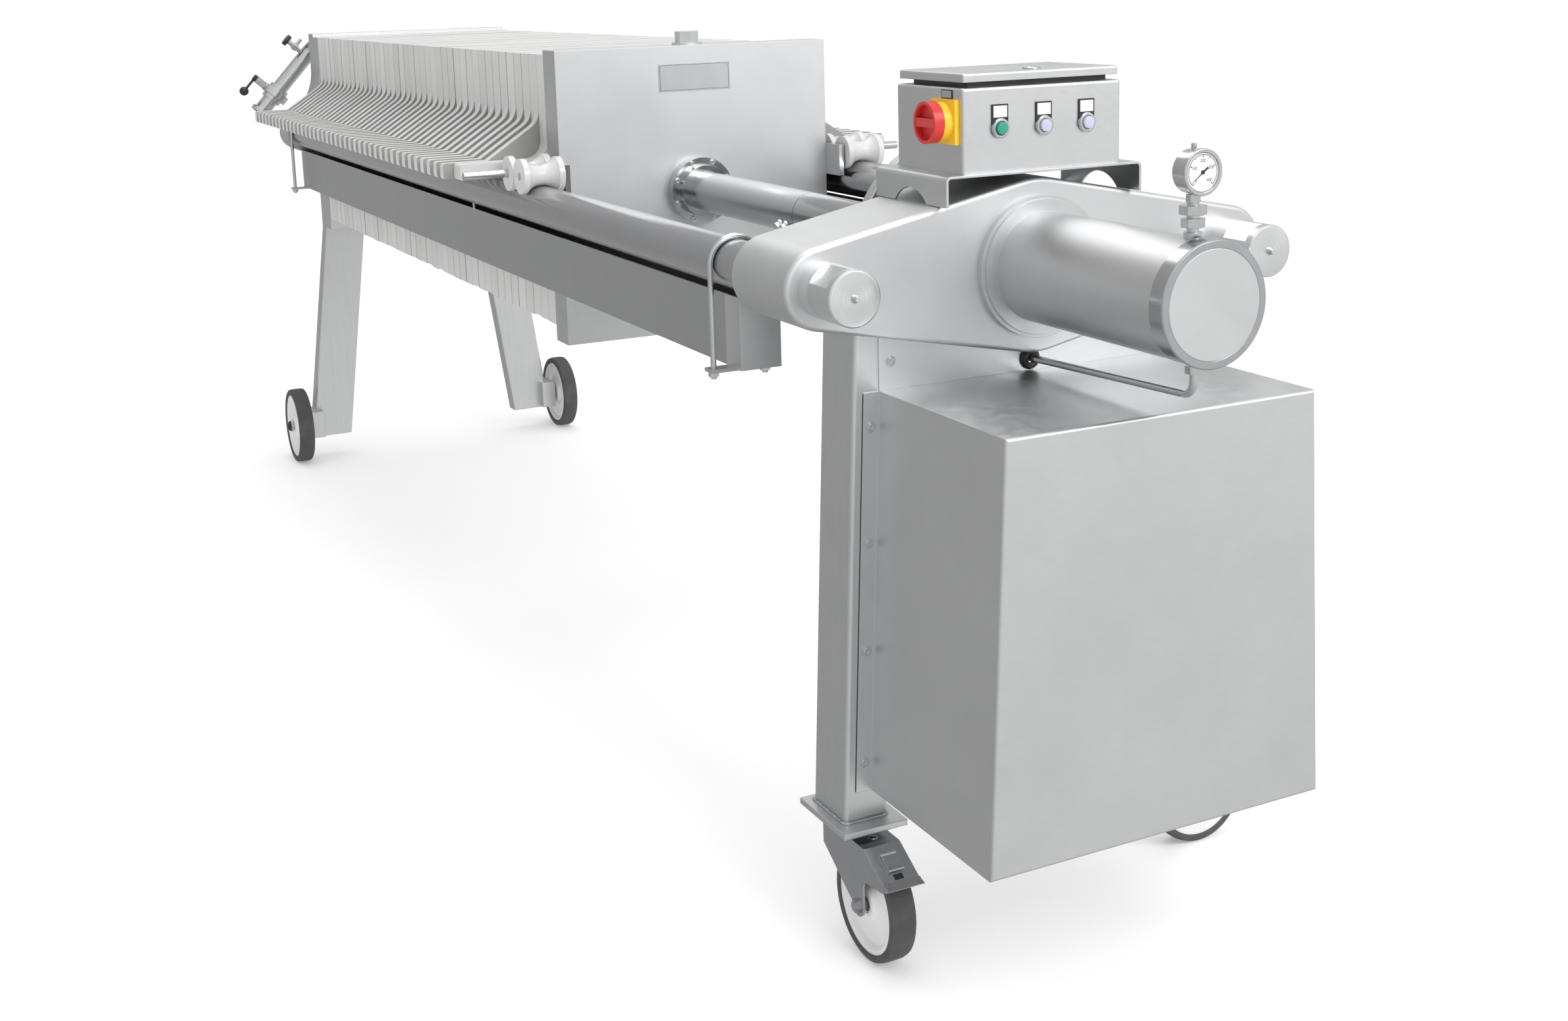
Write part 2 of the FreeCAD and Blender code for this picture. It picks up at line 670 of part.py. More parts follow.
# ---- drip gutters and the hangers that hold them under the bars ----
hanger_bend = d.bar_diameter / 2 + d.hanger_play + d.hanger_rod / 2
hanger_places = (x_pack + d.hanger_start, x_crosshead - d.hanger_end)
gutter_outer = bar_y + d.gutter_outside
gutter_inner = bar_y - hanger_bend - d.gutter_inside
gutter_x = x_pack + d.gutter_start
gutter_length = x_crosshead - d.gutter_end - gutter_x


def gutter(sign):
    """Folded sheet trough with a turned-in lip on each wall and a closed front end."""
    width = gutter_outer - gutter_inner
    height = d.gutter_top - d.gutter_bottom
    near = gutter_inner if sign > 0 else -gutter_outer
    outer = block(gutter_length, width, height, (gutter_x, near, d.gutter_bottom))
    inside = block(gutter_length - d.gutter_sheet * 2, width - d.gutter_sheet * 2, height,
                   (gutter_x + d.gutter_sheet, near + d.gutter_sheet, d.gutter_bottom + d.gutter_sheet))
    holes = [
        rod(d.hanger_rod / 2 + 0.5, height, (x_hanger, (bar_y - hanger_bend) * sign, d.gutter_bottom - 5))
        for x_hanger in hanger_places]
    return cut(outer, [inside, *holes])


keep(group([gutter(sign) for sign in SIDES.values()]), "drip_gutters")


def hanger(x_hanger, sign):
    """U-bolt over the bar; its legs pass down to a strap under the gutter, with a nut on each."""
    radius = d.hanger_rod / 2
    strap_z = d.gutter_bottom - d.strap_height - d.face_gap
    foot_z = strap_z - d.hanger_nut_height - 4
    ring = bend(hanger_bend, radius, 180, (x_hanger, bar_y * sign, d.axis_height), Y_AXIS, X_AXIS)
    legs = [rod(radius, d.axis_height - foot_z, (x_hanger, bar_y * sign + offset, foot_z))
            for offset in (-hanger_bend, hanger_bend)]
    nuts = [hexagon(d.hanger_nut, d.hanger_nut_height,
                    (x_hanger, bar_y * sign + offset, strap_z - d.hanger_nut_height))
            for offset in (-hanger_bend, hanger_bend)]
    length = hanger_bend * 2 + d.hanger_nut + 4
    strap = block(d.strap_width, length, d.strap_height,
                  (x_hanger - d.strap_width / 2, bar_y * sign - length / 2, strap_z))
    return fuse([ring, strap, *legs, *nuts])


keep(group([hanger(x_hanger, sign) for x_hanger in hanger_places for sign in SIDES.values()]),
     "gutter_hangers")


# ---- front pillars, upper panel and power unit cover ----
swivel_x = x_crosshead_front - d.swivel_setback
plate_top = d.pillar_foot - d.foot_plate
race_bottom = plate_top - d.caster_plate - d.bearing_height
slope_sine = crosshead_slope()
slope_cosine = root(1 - slope_sine * slope_sine)
slope = slope_sine / slope_cosine
edge_offset = d.crosshead_middle / slope_cosine
pillar_x = x_crosshead_front - d.pillar_setback - d.pillar_depth
pillar_front = pillar_x + d.pillar_depth


def under_crosshead(reach):
    """Height of the crosshead's lower edge at a distance from the middle of the press."""
    return d.axis_height - edge_offset + reach * slope


def pillar(sign):
    """Box pillar leaning in to the underside of the crosshead, with foot plate and caster top."""
    lean = tangent(d.pillar_lean)
    corners = []
    for start in (d.pillar_reach, d.pillar_reach - d.pillar_width):
        reach = (start - (d.axis_height - edge_offset - d.pillar_foot) * lean) / (1 + slope * lean)
        corners.append((start, d.pillar_foot))
        corners.append((reach, under_crosshead(reach)))
    outer_foot, outer_top, inner_foot, inner_top = corners
    outline = [outer_foot, outer_top, inner_top, inner_foot]
    if sign < 0:
        outline = [(-corner[0], corner[1]) for corner in outline]
    shaft = rounded(plate(outline, d.pillar_depth, (pillar_x, 0, 0)), d.pillar_round, runs_up)
    middle = (d.pillar_reach - d.pillar_width / 2) * sign
    foot = block(d.foot_plate_length, d.foot_plate_width, d.foot_plate,
                 (pillar_x - d.foot_plate_back, middle - d.foot_plate_width / 2,
                  plate_top))
    swivel_y = d.swivel_spacing / 2 * sign
    top = block(d.caster_plate_length, d.caster_plate_width, d.caster_plate,
                (swivel_x - d.caster_plate_length / 2, swivel_y - d.caster_plate_width / 2,
                 plate_top - d.caster_plate))
    race = rod(d.bearing_radius, d.bearing_height, (swivel_x, swivel_y, race_bottom))
    return fuse([shaft, foot, top, race])


keep(group([pillar(sign) for sign in SIDES.values()]), "front_pillars")

cover_half = d.cover_top_width / 2
panel_arc = d.crosshead_middle + d.face_gap
panel_top = under_crosshead(cover_half) - d.face_gap / slope_cosine
pipe_x = x_ram_end - d.pipe_back
pipe_exit = d.axis_height - d.barrel_diameter / 2 - d.pipe_drop - d.pipe_fall
keep(plate([(-cover_half, d.cover_top), (cover_half, d.cover_top), (cover_half, panel_top),
            (panel_arc * slope_sine, d.axis_height - panel_arc * slope_cosine, -panel_arc),
            (-panel_arc * slope_sine, d.axis_height - panel_arc * slope_cosine),
            (-cover_half, panel_top)],
           d.panel_sheet, (pillar_front, 0, 0), [(0, pipe_exit, d.grommet_radius)]), "upper_panel")


def power_cover():
    """Tapering housing of the power unit, with a screw flange on the front of each pillar."""
    low = d.cover_bottom_width / 2
    body = doc.addObject("PartDesign::Body", "Cover")
    add_pad(body, "YZ_Plane", [(-low, d.cover_bottom), (low, d.cover_bottom),
                               (cover_half, d.cover_top), (-cover_half, d.cover_top)],
            d.cover_depth - d.panel_sheet)
    body.Placement = at((pillar_front + d.panel_sheet, 0, 0))
    front = (pillar_front + d.cover_depth).value
    housing = rounded(body, d.cover_round, lambda edge: edge.BoundBox.XMin > front - 1)
    wing = d.cover_flange
    flange = plate([(-low - wing, d.cover_bottom), (low + wing, d.cover_bottom),
                    (cover_half + wing, d.cover_top), (-cover_half - wing, d.cover_top)],
                   d.panel_sheet, (pillar_front, 0, 0))
    return fuse([housing, flange])


keep(power_cover(), "power_cover")


# ---- rear legs with their axle plates ----
def rear_leg(sign):
    """Flat box leg splaying out from the fixed head, with the stub axle of its wheel."""
    lean = tangent(d.leg_lean)
    head_bottom = d.axis_height - d.head_height / 2
    top = d.leg_reach - (head_bottom - d.leg_foot) * lean
    outline = [(d.leg_reach, d.leg_foot), (top, head_bottom), (top - d.leg_width, head_bottom),
               (d.leg_reach - d.leg_width, d.leg_foot)]
    if sign < 0:
        outline = [(-corner[0], corner[1]) for corner in outline]
    leg_x = x_fixed + d.leg_setback
    shaft = rounded(plate(outline, d.leg_thickness, (leg_x, 0, 0)), d.leg_round, runs_up)
    wheel_face = d.rear_track / 2 - d.rear_wheel_width / 2
    plate_face = wheel_face - d.wheel_gap
    plate_root = d.leg_reach - d.leg_width / 4
    bracket = block(d.axle_plate_length, plate_face - plate_root, d.axle_plate_height,
                    (leg_x, plate_root if sign > 0 else -plate_face,
                     d.rear_wheel_radius - d.axle_plate_height / 2))
    axle_x = leg_x + d.rear_axle_ahead
    reach = d.rear_track / 2 + d.rear_wheel_width / 2 + 6
    axle = rod(d.rear_axle_radius, reach - plate_root, (axle_x, plate_root * sign, d.rear_wheel_radius),
               (0, sign, 0))
    stop = rod(d.rear_axle_radius + 7, 4, (axle_x, (reach - 4) * sign, d.rear_wheel_radius), (0, sign, 0))
    return fuse([shaft, bracket, axle, stop])


keep(group([rear_leg(sign) for sign in SIDES.values()]), "rear_legs")


def wheel(radius, width, axle_radius, tread):
    """Wheel with a dished hub on each side, a round-shouldered tread and a bore."""
    half = width / 2
    bore = axle_radius + d.axle_play
    rim = radius - tread
    boss = bore + 14
    dish = half - d.hub_dish
    shoulder = 8
    side = half - 2
    return [
        (bore, -half), (boss, -half), (boss + 4, -dish), (rim - 6, -dish), (rim, -side),
        (radius - shoulder, -side, shoulder), (radius, shoulder - side),
        (radius, side - shoulder, shoulder), (radius - shoulder, side),
        (rim, side), (rim - 6, dish), (boss + 4, dish), (boss, half), (bore, half),
    ]


rear_axle_x = x_fixed + d.leg_setback + d.rear_axle_ahead
for side, sign in SIDES.items():
    keep(turned(wheel(d.rear_wheel_radius, d.rear_wheel_width, d.rear_axle_radius, d.rear_tread),
                (rear_axle_x, d.rear_track / 2 * sign, d.rear_wheel_radius), Y_AXIS),
         f"rear_wheel_{side}")


# ---- front casters ----
def caster_fork(sign, turn):
    """Pressed fork: crown and bonnet bent from one sheet over the wheel, and a cheek on each side."""
    inner = d.caster_width / 2 + d.fork_gap
    outer = inner + d.fork_sheet
    top = race_bottom - d.face_gap
    low = top - d.fork_sheet
    trail = d.caster_trail
    axle_z = d.caster_radius
    boss = d.fork_boss
    bend_x = trail + d.bonnet_bend
    lip_x = trail + d.bonnet_reach
    lip_z = top - d.bonnet_drop
    sheet_outline = [(-d.fork_back, low), (bend_x - 1, low), (lip_x - 2, lip_z - d.fork_sheet),
                     (lip_x, lip_z), (bend_x, top), (-d.fork_back, top)]
    crown = plate(sheet_outline, outer * 2, (0, 0, 0), plane="XZ_Plane", centred=True)
    cheek_outline = [
        (-d.fork_back, top), (-d.fork_back, top - boss * 2.6),
        (trail - boss, axle_z, boss), (trail, axle_z - boss, boss), (trail + boss, axle_z),
        (trail + boss, axle_z + boss * 2, -boss), (trail + boss * 2, axle_z + boss * 3),
        (lip_x - 6, lip_z - boss / 2), (lip_x, lip_z), (bend_x, top),
    ]
    cheeks = [plate(cheek_outline, d.fork_sheet, (0, face + d.fork_sheet, 0), plane="XZ_Plane")
              for face in (-outer, inner)]
    roll = rod(d.bonnet_roll, outer * 2, (lip_x - 1, -outer, lip_z - 2), Y_AXIS)
    back = block(d.fork_sheet, outer * 2, boss * 1.6, (-d.fork_back, -outer, top - boss * 1.6))
    axle = rod(d.caster_axle_radius, outer * 2 + 16, (trail, -outer - 8, axle_z), Y_AXIS)
    nuts = [hexagon(d.caster_axle_radius * 2 + 5, 6, (trail, face, axle_z), Y_AXIS)
            for face in (-outer - 6, outer)]
    fork = fuse([crown, *cheeks, roll, back, axle, *nuts])
    fork.Placement = Placement(Vector(swivel_x.value, (d.swivel_spacing / 2 * sign).value, 0),
                               Rotation(Z_AXIS, turn))
    return fork


for side, sign, turn in (("left", -1, 0), ("right", 1, 90)):
    keep(caster_fork(sign, turn), f"caster_fork_{side}")
    swing = Rotation(Z_AXIS, turn)
    centre = Vector(swivel_x.value, (d.swivel_spacing / 2 * sign).value, d.caster_radius.value)
    profile = wheel(d.caster_radius, d.caster_width, d.caster_axle_radius, d.front_tread)
    tread = turned(profile, (0, 0, 0), Y_AXIS)
    tread.Placement = Placement(centre + swing.multVec(Vector(d.caster_trail.value, 0, 0)),
                                swing * Rotation(Z_AXIS, Y_AXIS))
    keep(tread, f"front_wheel_{side}")


# ---- control box on its saddle ----
box_x = x_crosshead_front + d.box_front - d.box_depth
box_front_x = box_x + d.box_depth
box_half = d.box_width / 2
box_top = d.bracket_top + d.box_height
lid_z = box_top + d.neck_height + d.face_gap
hinge_x = box_x - d.hinge_radius
hinge_places = [d.hinge_spread * sign - d.hinge_length / 2 for sign in SIDES.values()]
end_knuckle = d.hinge_length / 4
button_z = d.bracket_top + d.button_height


def over_crosshead(reach):
    """Height of the crosshead's upper edge at a distance from the middle of the press."""
    return d.axis_height + edge_offset - reach * slope


def box_bracket():
    """Saddle bent from sheet: its two flanges stand on the slopes of the crosshead, each over a cut-out."""
    half = d.bracket_width / 2
    gauge = d.bracket_sheet
    inside = d.bracket_bend - gauge
    foot = over_crosshead(half - gauge) + d.face_gap
    top = d.bracket_top
    right = [
        (half - gauge, foot), (half, foot), (half, top - d.bracket_bend, d.bracket_bend),
        (half - d.bracket_bend, top),
    ]
    under = [(-half + gauge, foot), (-half + gauge, top - d.bracket_bend, -inside),
             (-half + d.bracket_bend, top - gauge), (half - d.bracket_bend, top - gauge, -inside),
             (half - gauge, top - d.bracket_bend)]
    left = [(-half + d.bracket_bend, top, d.bracket_bend), (-half, top - d.bracket_bend), (-half, foot)]
    bracket_x = box_x - (d.bracket_depth - d.box_depth) / 2
    saddle = plate(right + left + under, d.bracket_depth, (bracket_x, 0, 0))
    radius = (d.notch_width * d.notch_width / 4 + d.notch_height * d.notch_height) / (2 * d.notch_height)
    notch = rod(radius, d.bracket_width + 2,
                (bracket_x + d.bracket_depth / 2, -half - 1, foot + d.notch_height - radius), Y_AXIS)
    return cut(saddle, [notch])


keep(box_bracket(), "box_bracket")


def control_box():
    """Sheet box with a bezel for each button, a neck under its lid and the fixed half of two hinges."""
    wall = d.box_wall
    inset = d.neck_inset
    lugs = []
    for y_hinge in hinge_places:
        lugs.append(rod(d.hinge_pin, d.hinge_length, (hinge_x, y_hinge, lid_z), Y_AXIS))
        for start in (y_hinge, y_hinge + d.hinge_length - end_knuckle):
            lugs.append(rod(d.hinge_radius, end_knuckle, (hinge_x, start, lid_z), Y_AXIS))
            lugs.append(block(d.hinge_radius, end_knuckle, d.hinge_drop,
                              (box_x - d.hinge_radius + 1, start, lid_z - d.hinge_drop)))
    shell = rounded(block(d.box_depth, d.box_width, d.box_height, (box_x, -box_half, d.bracket_top)),
                    d.box_round, lambda edge: edge.BoundBox.ZMax > d.bracket_top.value + 1)
    neck = block(d.box_depth - inset * 2, d.box_width - inset * 2, d.neck_height,
                 (box_x + inset, inset - box_half, box_top))
    cavity = block(d.box_depth - wall * 2, d.box_width - wall * 2, d.box_height - wall * 2,
                   (box_x + wall, wall - box_half, d.bracket_top + wall))
    rim = inset + wall
    mouth = block(d.box_depth - rim * 2, d.box_width - rim * 2, wall + d.neck_height + 1,
                  (box_x + rim, rim - box_half, box_top - wall))
    bezels = []
    passages = [cavity, mouth]
    for step in (-1, 0, 1):
        start = (box_front_x - wall, d.button_spacing * step, button_z)
        bezels.append(rod(d.bezel_radius, wall + d.bezel_length, start, X_AXIS))
        passages.append(rod(d.button_radius + d.button_play, wall + d.bezel_length + 1, start, X_AXIS))
    return fuse([cut(fuse([shell, neck, *bezels]), passages), *lugs])


keep(control_box(), "control_box")
for name, step in (("start", -1), ("reset", 0), ("stop", 1)):
    inside = d.button_travel + d.box_wall + 2
    keep(rod(d.button_radius, inside + d.button_reach,
             (box_front_x - inside, d.button_spacing * step, button_z), X_AXIS), f"{name}_button")


def box_lid():
    """Lid with a rounded rim and the moving knuckle of each hinge."""
    cover = block(d.box_depth - d.lid_inset * 2, d.box_width - d.lid_inset * 2, d.lid_height,
                  (box_x + d.lid_inset, d.lid_inset - box_half, lid_z))
    parts = [rounded(cover, d.lid_round, lambda edge: edge.BoundBox.ZMax > lid_z.value + 1)]
    length = d.hinge_length - end_knuckle * 2 - d.rod_play * 2
    pins = []
    for y_hinge in hinge_places:
        start = y_hinge + end_knuckle + d.rod_play
        parts.append(rod(d.hinge_radius, length, (hinge_x, start, lid_z), Y_AXIS))
        parts.append(block(d.hinge_radius + d.lid_inset + 2, length, d.hinge_radius,
                           (hinge_x, start, lid_z)))
        pins.append(rod(d.hinge_pin + d.button_play, length, (hinge_x, start, lid_z), Y_AXIS))
    return cut(fuse(parts), pins)


keep(box_lid(), "box_lid")

switch_x = box_front_x - d.switch_back
switch_z = d.bracket_top + d.switch_height
switch_square = block(d.switch_plate, d.switch_plate_thickness, d.switch_plate,
                      (switch_x - d.switch_plate / 2, -box_half - d.switch_plate_thickness,
                       switch_z - d.switch_plate / 2))
switch_collar = rod(d.switch_collar, d.collar_reach,
                    (switch_x, -box_half - d.switch_plate_thickness, switch_z), -Y_AXIS)
keep(fuse([switch_square, switch_collar]), "switch_plate")


def main_switch():
    """Round switch: a rim with a grip bar across its hollow face."""
    face = -box_half - d.switch_plate_thickness - d.collar_reach - d.face_gap
    depth = d.knob_length * 0.6
    disc = rod(d.knob_radius, d.knob_length, (switch_x, face, switch_z), -Y_AXIS)
    hollow = rod(d.knob_radius - 5, depth + 1,
                 (switch_x, face - d.knob_length + depth, switch_z), -Y_AXIS)
    grip = block(d.knob_radius * 2 - 6, depth - 1, d.grip_width,
                 (switch_x - d.knob_radius + 3, face - d.knob_length + 1, switch_z - d.grip_width / 2))
    return fuse([cut(disc, [hollow]), grip])


keep(main_switch(), "main_switch")


# ---- pressure gauge on the ram, and the oil pipe under it ----
gauge_x = x_ram_end - d.gauge_back - d.gauge_depth
stem_x = gauge_x + d.stem_ahead
barrel = d.barrel_diameter / 2
gauge_case = turned([(0, 0), (d.gauge_radius - 2, 0), (d.gauge_radius - 2, d.gauge_depth - 8),
                     (d.gauge_radius, d.gauge_depth - 8), (d.gauge_radius, d.gauge_depth - 1),
                     (d.gauge_radius - 1, d.gauge_depth), (d.gauge_radius - 5, d.gauge_depth),
                     (d.gauge_radius - 6, d.gauge_depth - 3), (0, d.gauge_depth - 3)],
                    (gauge_x, 0, d.gauge_height))
relief = rod(4, 9, (stem_x, 0, d.gauge_height + d.gauge_radius - 3))
keep(fuse([gauge_case, relief]), "pressure_gauge")


def gauge_fittings():
    """Stack of fittings from the barrel to the gauge: share of the height, form and width of each."""
    bottom = d.axis_height + barrel - 4
    height = d.gauge_height - d.gauge_radius + 1.5 - bottom
    steps = [
        (0.18, "round", d.fitting_radius * 1.5), (0.1, "round", d.fitting_radius),
        (0.2, "hex", d.fitting_hex), (0.08, "round", d.fitting_radius), (0.2, "hex", d.fitting_hex * 1.15),
        (0.06, "round", d.fitting_radius), (0.18, "hex", d.fitting_hex * 0.6),
    ]
    parts = []
    level = bottom
    for share, form, width in steps:
        rise = height * share
        shape = rod if form == "round" else hexagon
        parts.append(shape(width, rise, (stem_x, 0, level)))
        level = level + rise
    return cut(fuse(parts), [rod(barrel, 120, (stem_x - 60, 0, d.axis_height), X_AXIS)])


keep(gauge_fittings(), "gauge_fittings")


def oil_pipe():
    """Rigid pipe from a nut under the barrel, bent back to the hole in the upper panel."""
    barrel_low = d.axis_height - barrel
    bend_z = barrel_low - d.pipe_drop + d.pipe_bend
    run = pipe_x - pillar_front
    fall = math.degrees(math.atan2(d.pipe_fall.value, run.value))
    drop = rod(d.pipe_radius, barrel_low - bend_z + 4, (pipe_x, 0, bend_z))
    elbow = bend(d.pipe_bend, d.pipe_radius, 90 - fall, (pipe_x - d.pipe_bend, 0, bend_z), X_AXIS, Y_AXIS)
    tilt = math.radians(fall)
    start = (pipe_x - d.pipe_bend + d.pipe_bend * math.sin(tilt), 0, bend_z - d.pipe_bend * math.cos(tilt))
    back = rod(d.pipe_radius, run, start, (-math.cos(tilt), 0, -math.sin(tilt)))
    nut = hexagon(d.pipe_nut, 20, (pipe_x, 0, barrel_low - 16))
    return cut(fuse([drop, elbow, back, nut]), [rod(barrel, 80, (pipe_x - 40, 0, d.axis_height), X_AXIS)])


keep(oil_pipe(), "oil_pipe")


# ---- outlet pipe, valve and sampling valve behind the fixed head ----
valve_x = x_fixed - d.valve_offset
port = (valve_x, -d.port_offset, d.axis_height + d.port_offset)
run_y = -cosine(d.outlet_slope)
run_z = -sine(d.outlet_slope)
run = Vector(0, run_y.value, run_z.value)
across = Vector(0, run_z.value, -run_y.value)
seat_radius = outlet_bore - d.seat_step


def along_run(distance, rise=0):
    """Point along the outlet run from its corner, and off it on the side of the valve's neck."""
    return (port[0], port[1] + run_y * distance + run_z * rise, port[2] + run_z * distance - run_y * rise)


def pipe_elbow(radius, extra):
    """Port stub, elbow and upper run, as solid rods of a radius."""
    stub = rod(radius, d.valve_offset - d.elbow_radius + extra,
               (valve_x + d.elbow_radius, port[1], port[2]), X_AXIS)
    centre = along_run(d.elbow_radius)
    turn = bend(d.elbow_radius, radius, 90, (centre[0] + d.elbow_radius, centre[1], centre[2]),
                -run, run.cross(X_AXIS))
    length = d.valve_run - d.valve_length / 2 - d.elbow_radius
    return [stub, turn, rod(radius, length + extra, along_run(d.elbow_radius), run)]


def outlet_pipe():
    ferrule = rod(d.ferrule_radius, d.ferrule_length,
                  along_run(d.valve_run - d.valve_length / 2 - d.ferrule_length), run)
    collar = rod(d.outlet_radius + 7, 6, (x_fixed - 6, port[1], port[2]), X_AXIS)
    body = rod(d.sample_radius, d.sample_length - d.handwheel_depth, along_run(d.sample_run), across)
    shoulder = rod(d.sample_radius + 4, 16, along_run(d.sample_run, d.outlet_radius + 14), across)
    spout = rod(d.sample_radius - 3, 34, along_run(d.sample_run, d.outlet_radius + 22), -run)
    return cut(fuse([*pipe_elbow(d.outlet_radius, 0), ferrule, collar, body, shoulder, spout]),
               pipe_elbow(outlet_bore, 1))


keep(outlet_pipe(), "outlet_pipe")
keep(rod(d.handwheel_radius, d.handwheel_depth,
         along_run(d.sample_run, d.sample_length - d.handwheel_depth + d.face_gap), across),
     "sampling_knob")


def outlet_valve():
    """Butterfly valve body with its neck, and the tail pipe with a union ring at its end."""
    start = d.valve_run - d.valve_length / 2
    seat_end = d.valve_run + seat_radius + d.seat_margin
    body = rod(d.valve_radius, d.valve_length, along_run(start), run)
    tail = rod(d.outlet_radius, d.outlet_run - start, along_run(start), run)
    ferrule = rod(d.ferrule_radius, d.ferrule_length, along_run(start + d.valve_length), run)
    union = rod(d.ferrule_radius, d.ferrule_length, along_run(d.outlet_run - d.ferrule_length), run)
    neck = rod(d.neck_radius, d.neck_length - d.lever_radius - 2, along_run(d.valve_run), across)
    seat = rod(seat_radius, seat_end - start + 2, along_run(start - 1), run)
    passage = rod(outlet_bore, d.outlet_run - seat_end + 1, along_run(seat_end), run)
    stem_hole = rod(d.stem_radius + d.rod_play, d.neck_length, along_run(d.valve_run), across)
    return cut(fuse([body, tail, ferrule, union, neck]), [seat, passage, stem_hole])


keep(outlet_valve(), "outlet_valve")


def valve_lever():
    """Butterfly disc, stem, lever and ball: the lever lies along the pipe when the valve is open."""
    disc = rod(seat_radius - d.rod_play, d.disc_thickness,
               (valve_x - d.disc_thickness / 2, *along_run(d.valve_run)[1:]), X_AXIS)
    stem = rod(d.stem_radius, d.neck_length + 10, along_run(d.valve_run, -10), across)
    hub = rod(d.neck_radius - 1, d.lever_radius * 2 + 2,
              along_run(d.valve_run, d.neck_length - d.lever_radius - 1), across)
    lever = rod(d.lever_radius, d.lever_length - 3, along_run(d.valve_run + 3, d.neck_length), run)
    knob = ball(d.ball_radius, along_run(d.valve_run + d.lever_length, d.neck_length))
    return fuse([disc, stem, hub, lever, knob])


keep(valve_lever(), "valve_lever")


# ---- check and write ----
doc.recompute()
faults = [item.Label for item in doc.Objects if {"Invalid", "Error"} & set(item.State)]
if faults:
    raise RuntimeError(f"failed objects: {faults}")
for item in nodes:
    if item.Shape.isNull() or not item.Shape.isValid() or item.Shape.Volume <= 0:
        raise RuntimeError(f"bad shape: {item.Label}")
os.makedirs("parts", exist_ok=True)
for item in nodes:
    item.Shape.exportStep(f"parts/{item.Label}.step")
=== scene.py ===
"""Plate filter press: materials, visible detail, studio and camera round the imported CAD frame."""
import math
import random

import bmesh
import bpy
from mathutils import Matrix, Vector


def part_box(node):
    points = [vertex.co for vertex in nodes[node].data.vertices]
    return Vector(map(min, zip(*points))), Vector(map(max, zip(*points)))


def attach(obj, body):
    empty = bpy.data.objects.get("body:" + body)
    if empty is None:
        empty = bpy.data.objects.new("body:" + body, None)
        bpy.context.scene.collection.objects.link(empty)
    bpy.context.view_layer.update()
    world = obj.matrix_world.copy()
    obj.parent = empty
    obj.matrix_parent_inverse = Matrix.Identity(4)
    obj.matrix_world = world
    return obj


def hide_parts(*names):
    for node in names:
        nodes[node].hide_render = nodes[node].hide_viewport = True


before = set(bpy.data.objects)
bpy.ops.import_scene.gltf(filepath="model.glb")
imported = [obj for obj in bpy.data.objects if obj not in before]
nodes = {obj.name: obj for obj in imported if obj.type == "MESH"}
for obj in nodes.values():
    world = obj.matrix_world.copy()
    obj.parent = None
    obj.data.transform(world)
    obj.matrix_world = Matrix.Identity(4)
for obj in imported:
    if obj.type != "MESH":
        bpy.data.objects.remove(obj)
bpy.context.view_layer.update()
scene = bpy.context.scene
random.seed(7)

X_AXIS = Vector((1, 0, 0))
Y_AXIS = Vector((0, 1, 0))
Z_AXIS = Vector((0, 0, 1))
FRAME_BODY = "press_frame"
HEAD_BODY = "pressing_head"
AXIS_Z = 1.123
BAR_Y = 0.392


# ---- material nodes ----
class Shader:
    """A material's node tree with short calls for its nodes."""

    def __init__(self, name):
        self.material = bpy.data.materials.new(name)
        self.material.use_nodes = True
        self.tree = self.material.node_tree
        self.principled = self.tree.nodes["Principled BSDF"]
        self.place = self.add("ShaderNodeTexCoord").outputs["Object"]

    def add(self, kind, inputs=None, **settings):
        node = self.tree.nodes.new(kind)
        for key, value in settings.items():
            setattr(node, key, value)
        for key, value in (inputs or {}).items():
            self.set(node.inputs[key], value)
        return node

    def set(self, socket, value):
        if isinstance(value, bpy.types.NodeSocket):
            self.tree.links.new(value, socket)
        else:
            socket.default_value = value

    def surface(self, **inputs):
        for key, value in inputs.items():
            self.set(self.principled.inputs[key.replace("_", " ")], value)

    def math(self, operation, first, second=0.0, third=0.0):
        node = self.add("ShaderNodeMath", {0: first, 1: second, 2: third}, operation=operation)
        return node.outputs[0]

    def split(self, vector=None):
        return self.add("ShaderNodeSeparateXYZ", {0: vector or self.place}).outputs

    def stretched(self, scale):
        return self.add("ShaderNodeMapping", {"Vector": self.place, "Scale": scale}).outputs[0]

    def noise(self, scale, detail=3.0, vector=None, rough=0.55):
        node = self.add("ShaderNodeTexNoise", {
            "Vector": vector or self.place, "Scale": scale, "Detail": detail, "Roughness": rough})
        return node.outputs[0]

    def spread(self, value, low, high, start=0.3, stop=0.7):
        node = self.add("ShaderNodeMapRange", {
            "Value": value, "From Min": start, "From Max": stop, "To Min": low, "To Max": high})
        return node.outputs[0]

    def tinted(self, color, *factors):
        """A colour multiplied by grey factors."""
        result = (*color, 1.0)
        for factor in factors:
            node = self.add("ShaderNodeVectorMath", operation="SCALE")
            self.set(node.inputs[0], result if isinstance(result, bpy.types.NodeSocket) else result[:3])
            self.set(node.inputs["Scale"], factor)
            result = node.outputs[0]
        return result

    def relief(self, height, strength, distance=0.001, edge=0.0012):
        """Bump over edges that are eased by a small radius."""
        eased = self.add("ShaderNodeBevel", {"Radius": edge}, samples=4).outputs[0]
        node = self.add("ShaderNodeBump", {
            "Height": height, "Strength": strength, "Distance": distance, "Normal": eased})
        self.set(self.principled.inputs["Normal"], node.outputs[0])


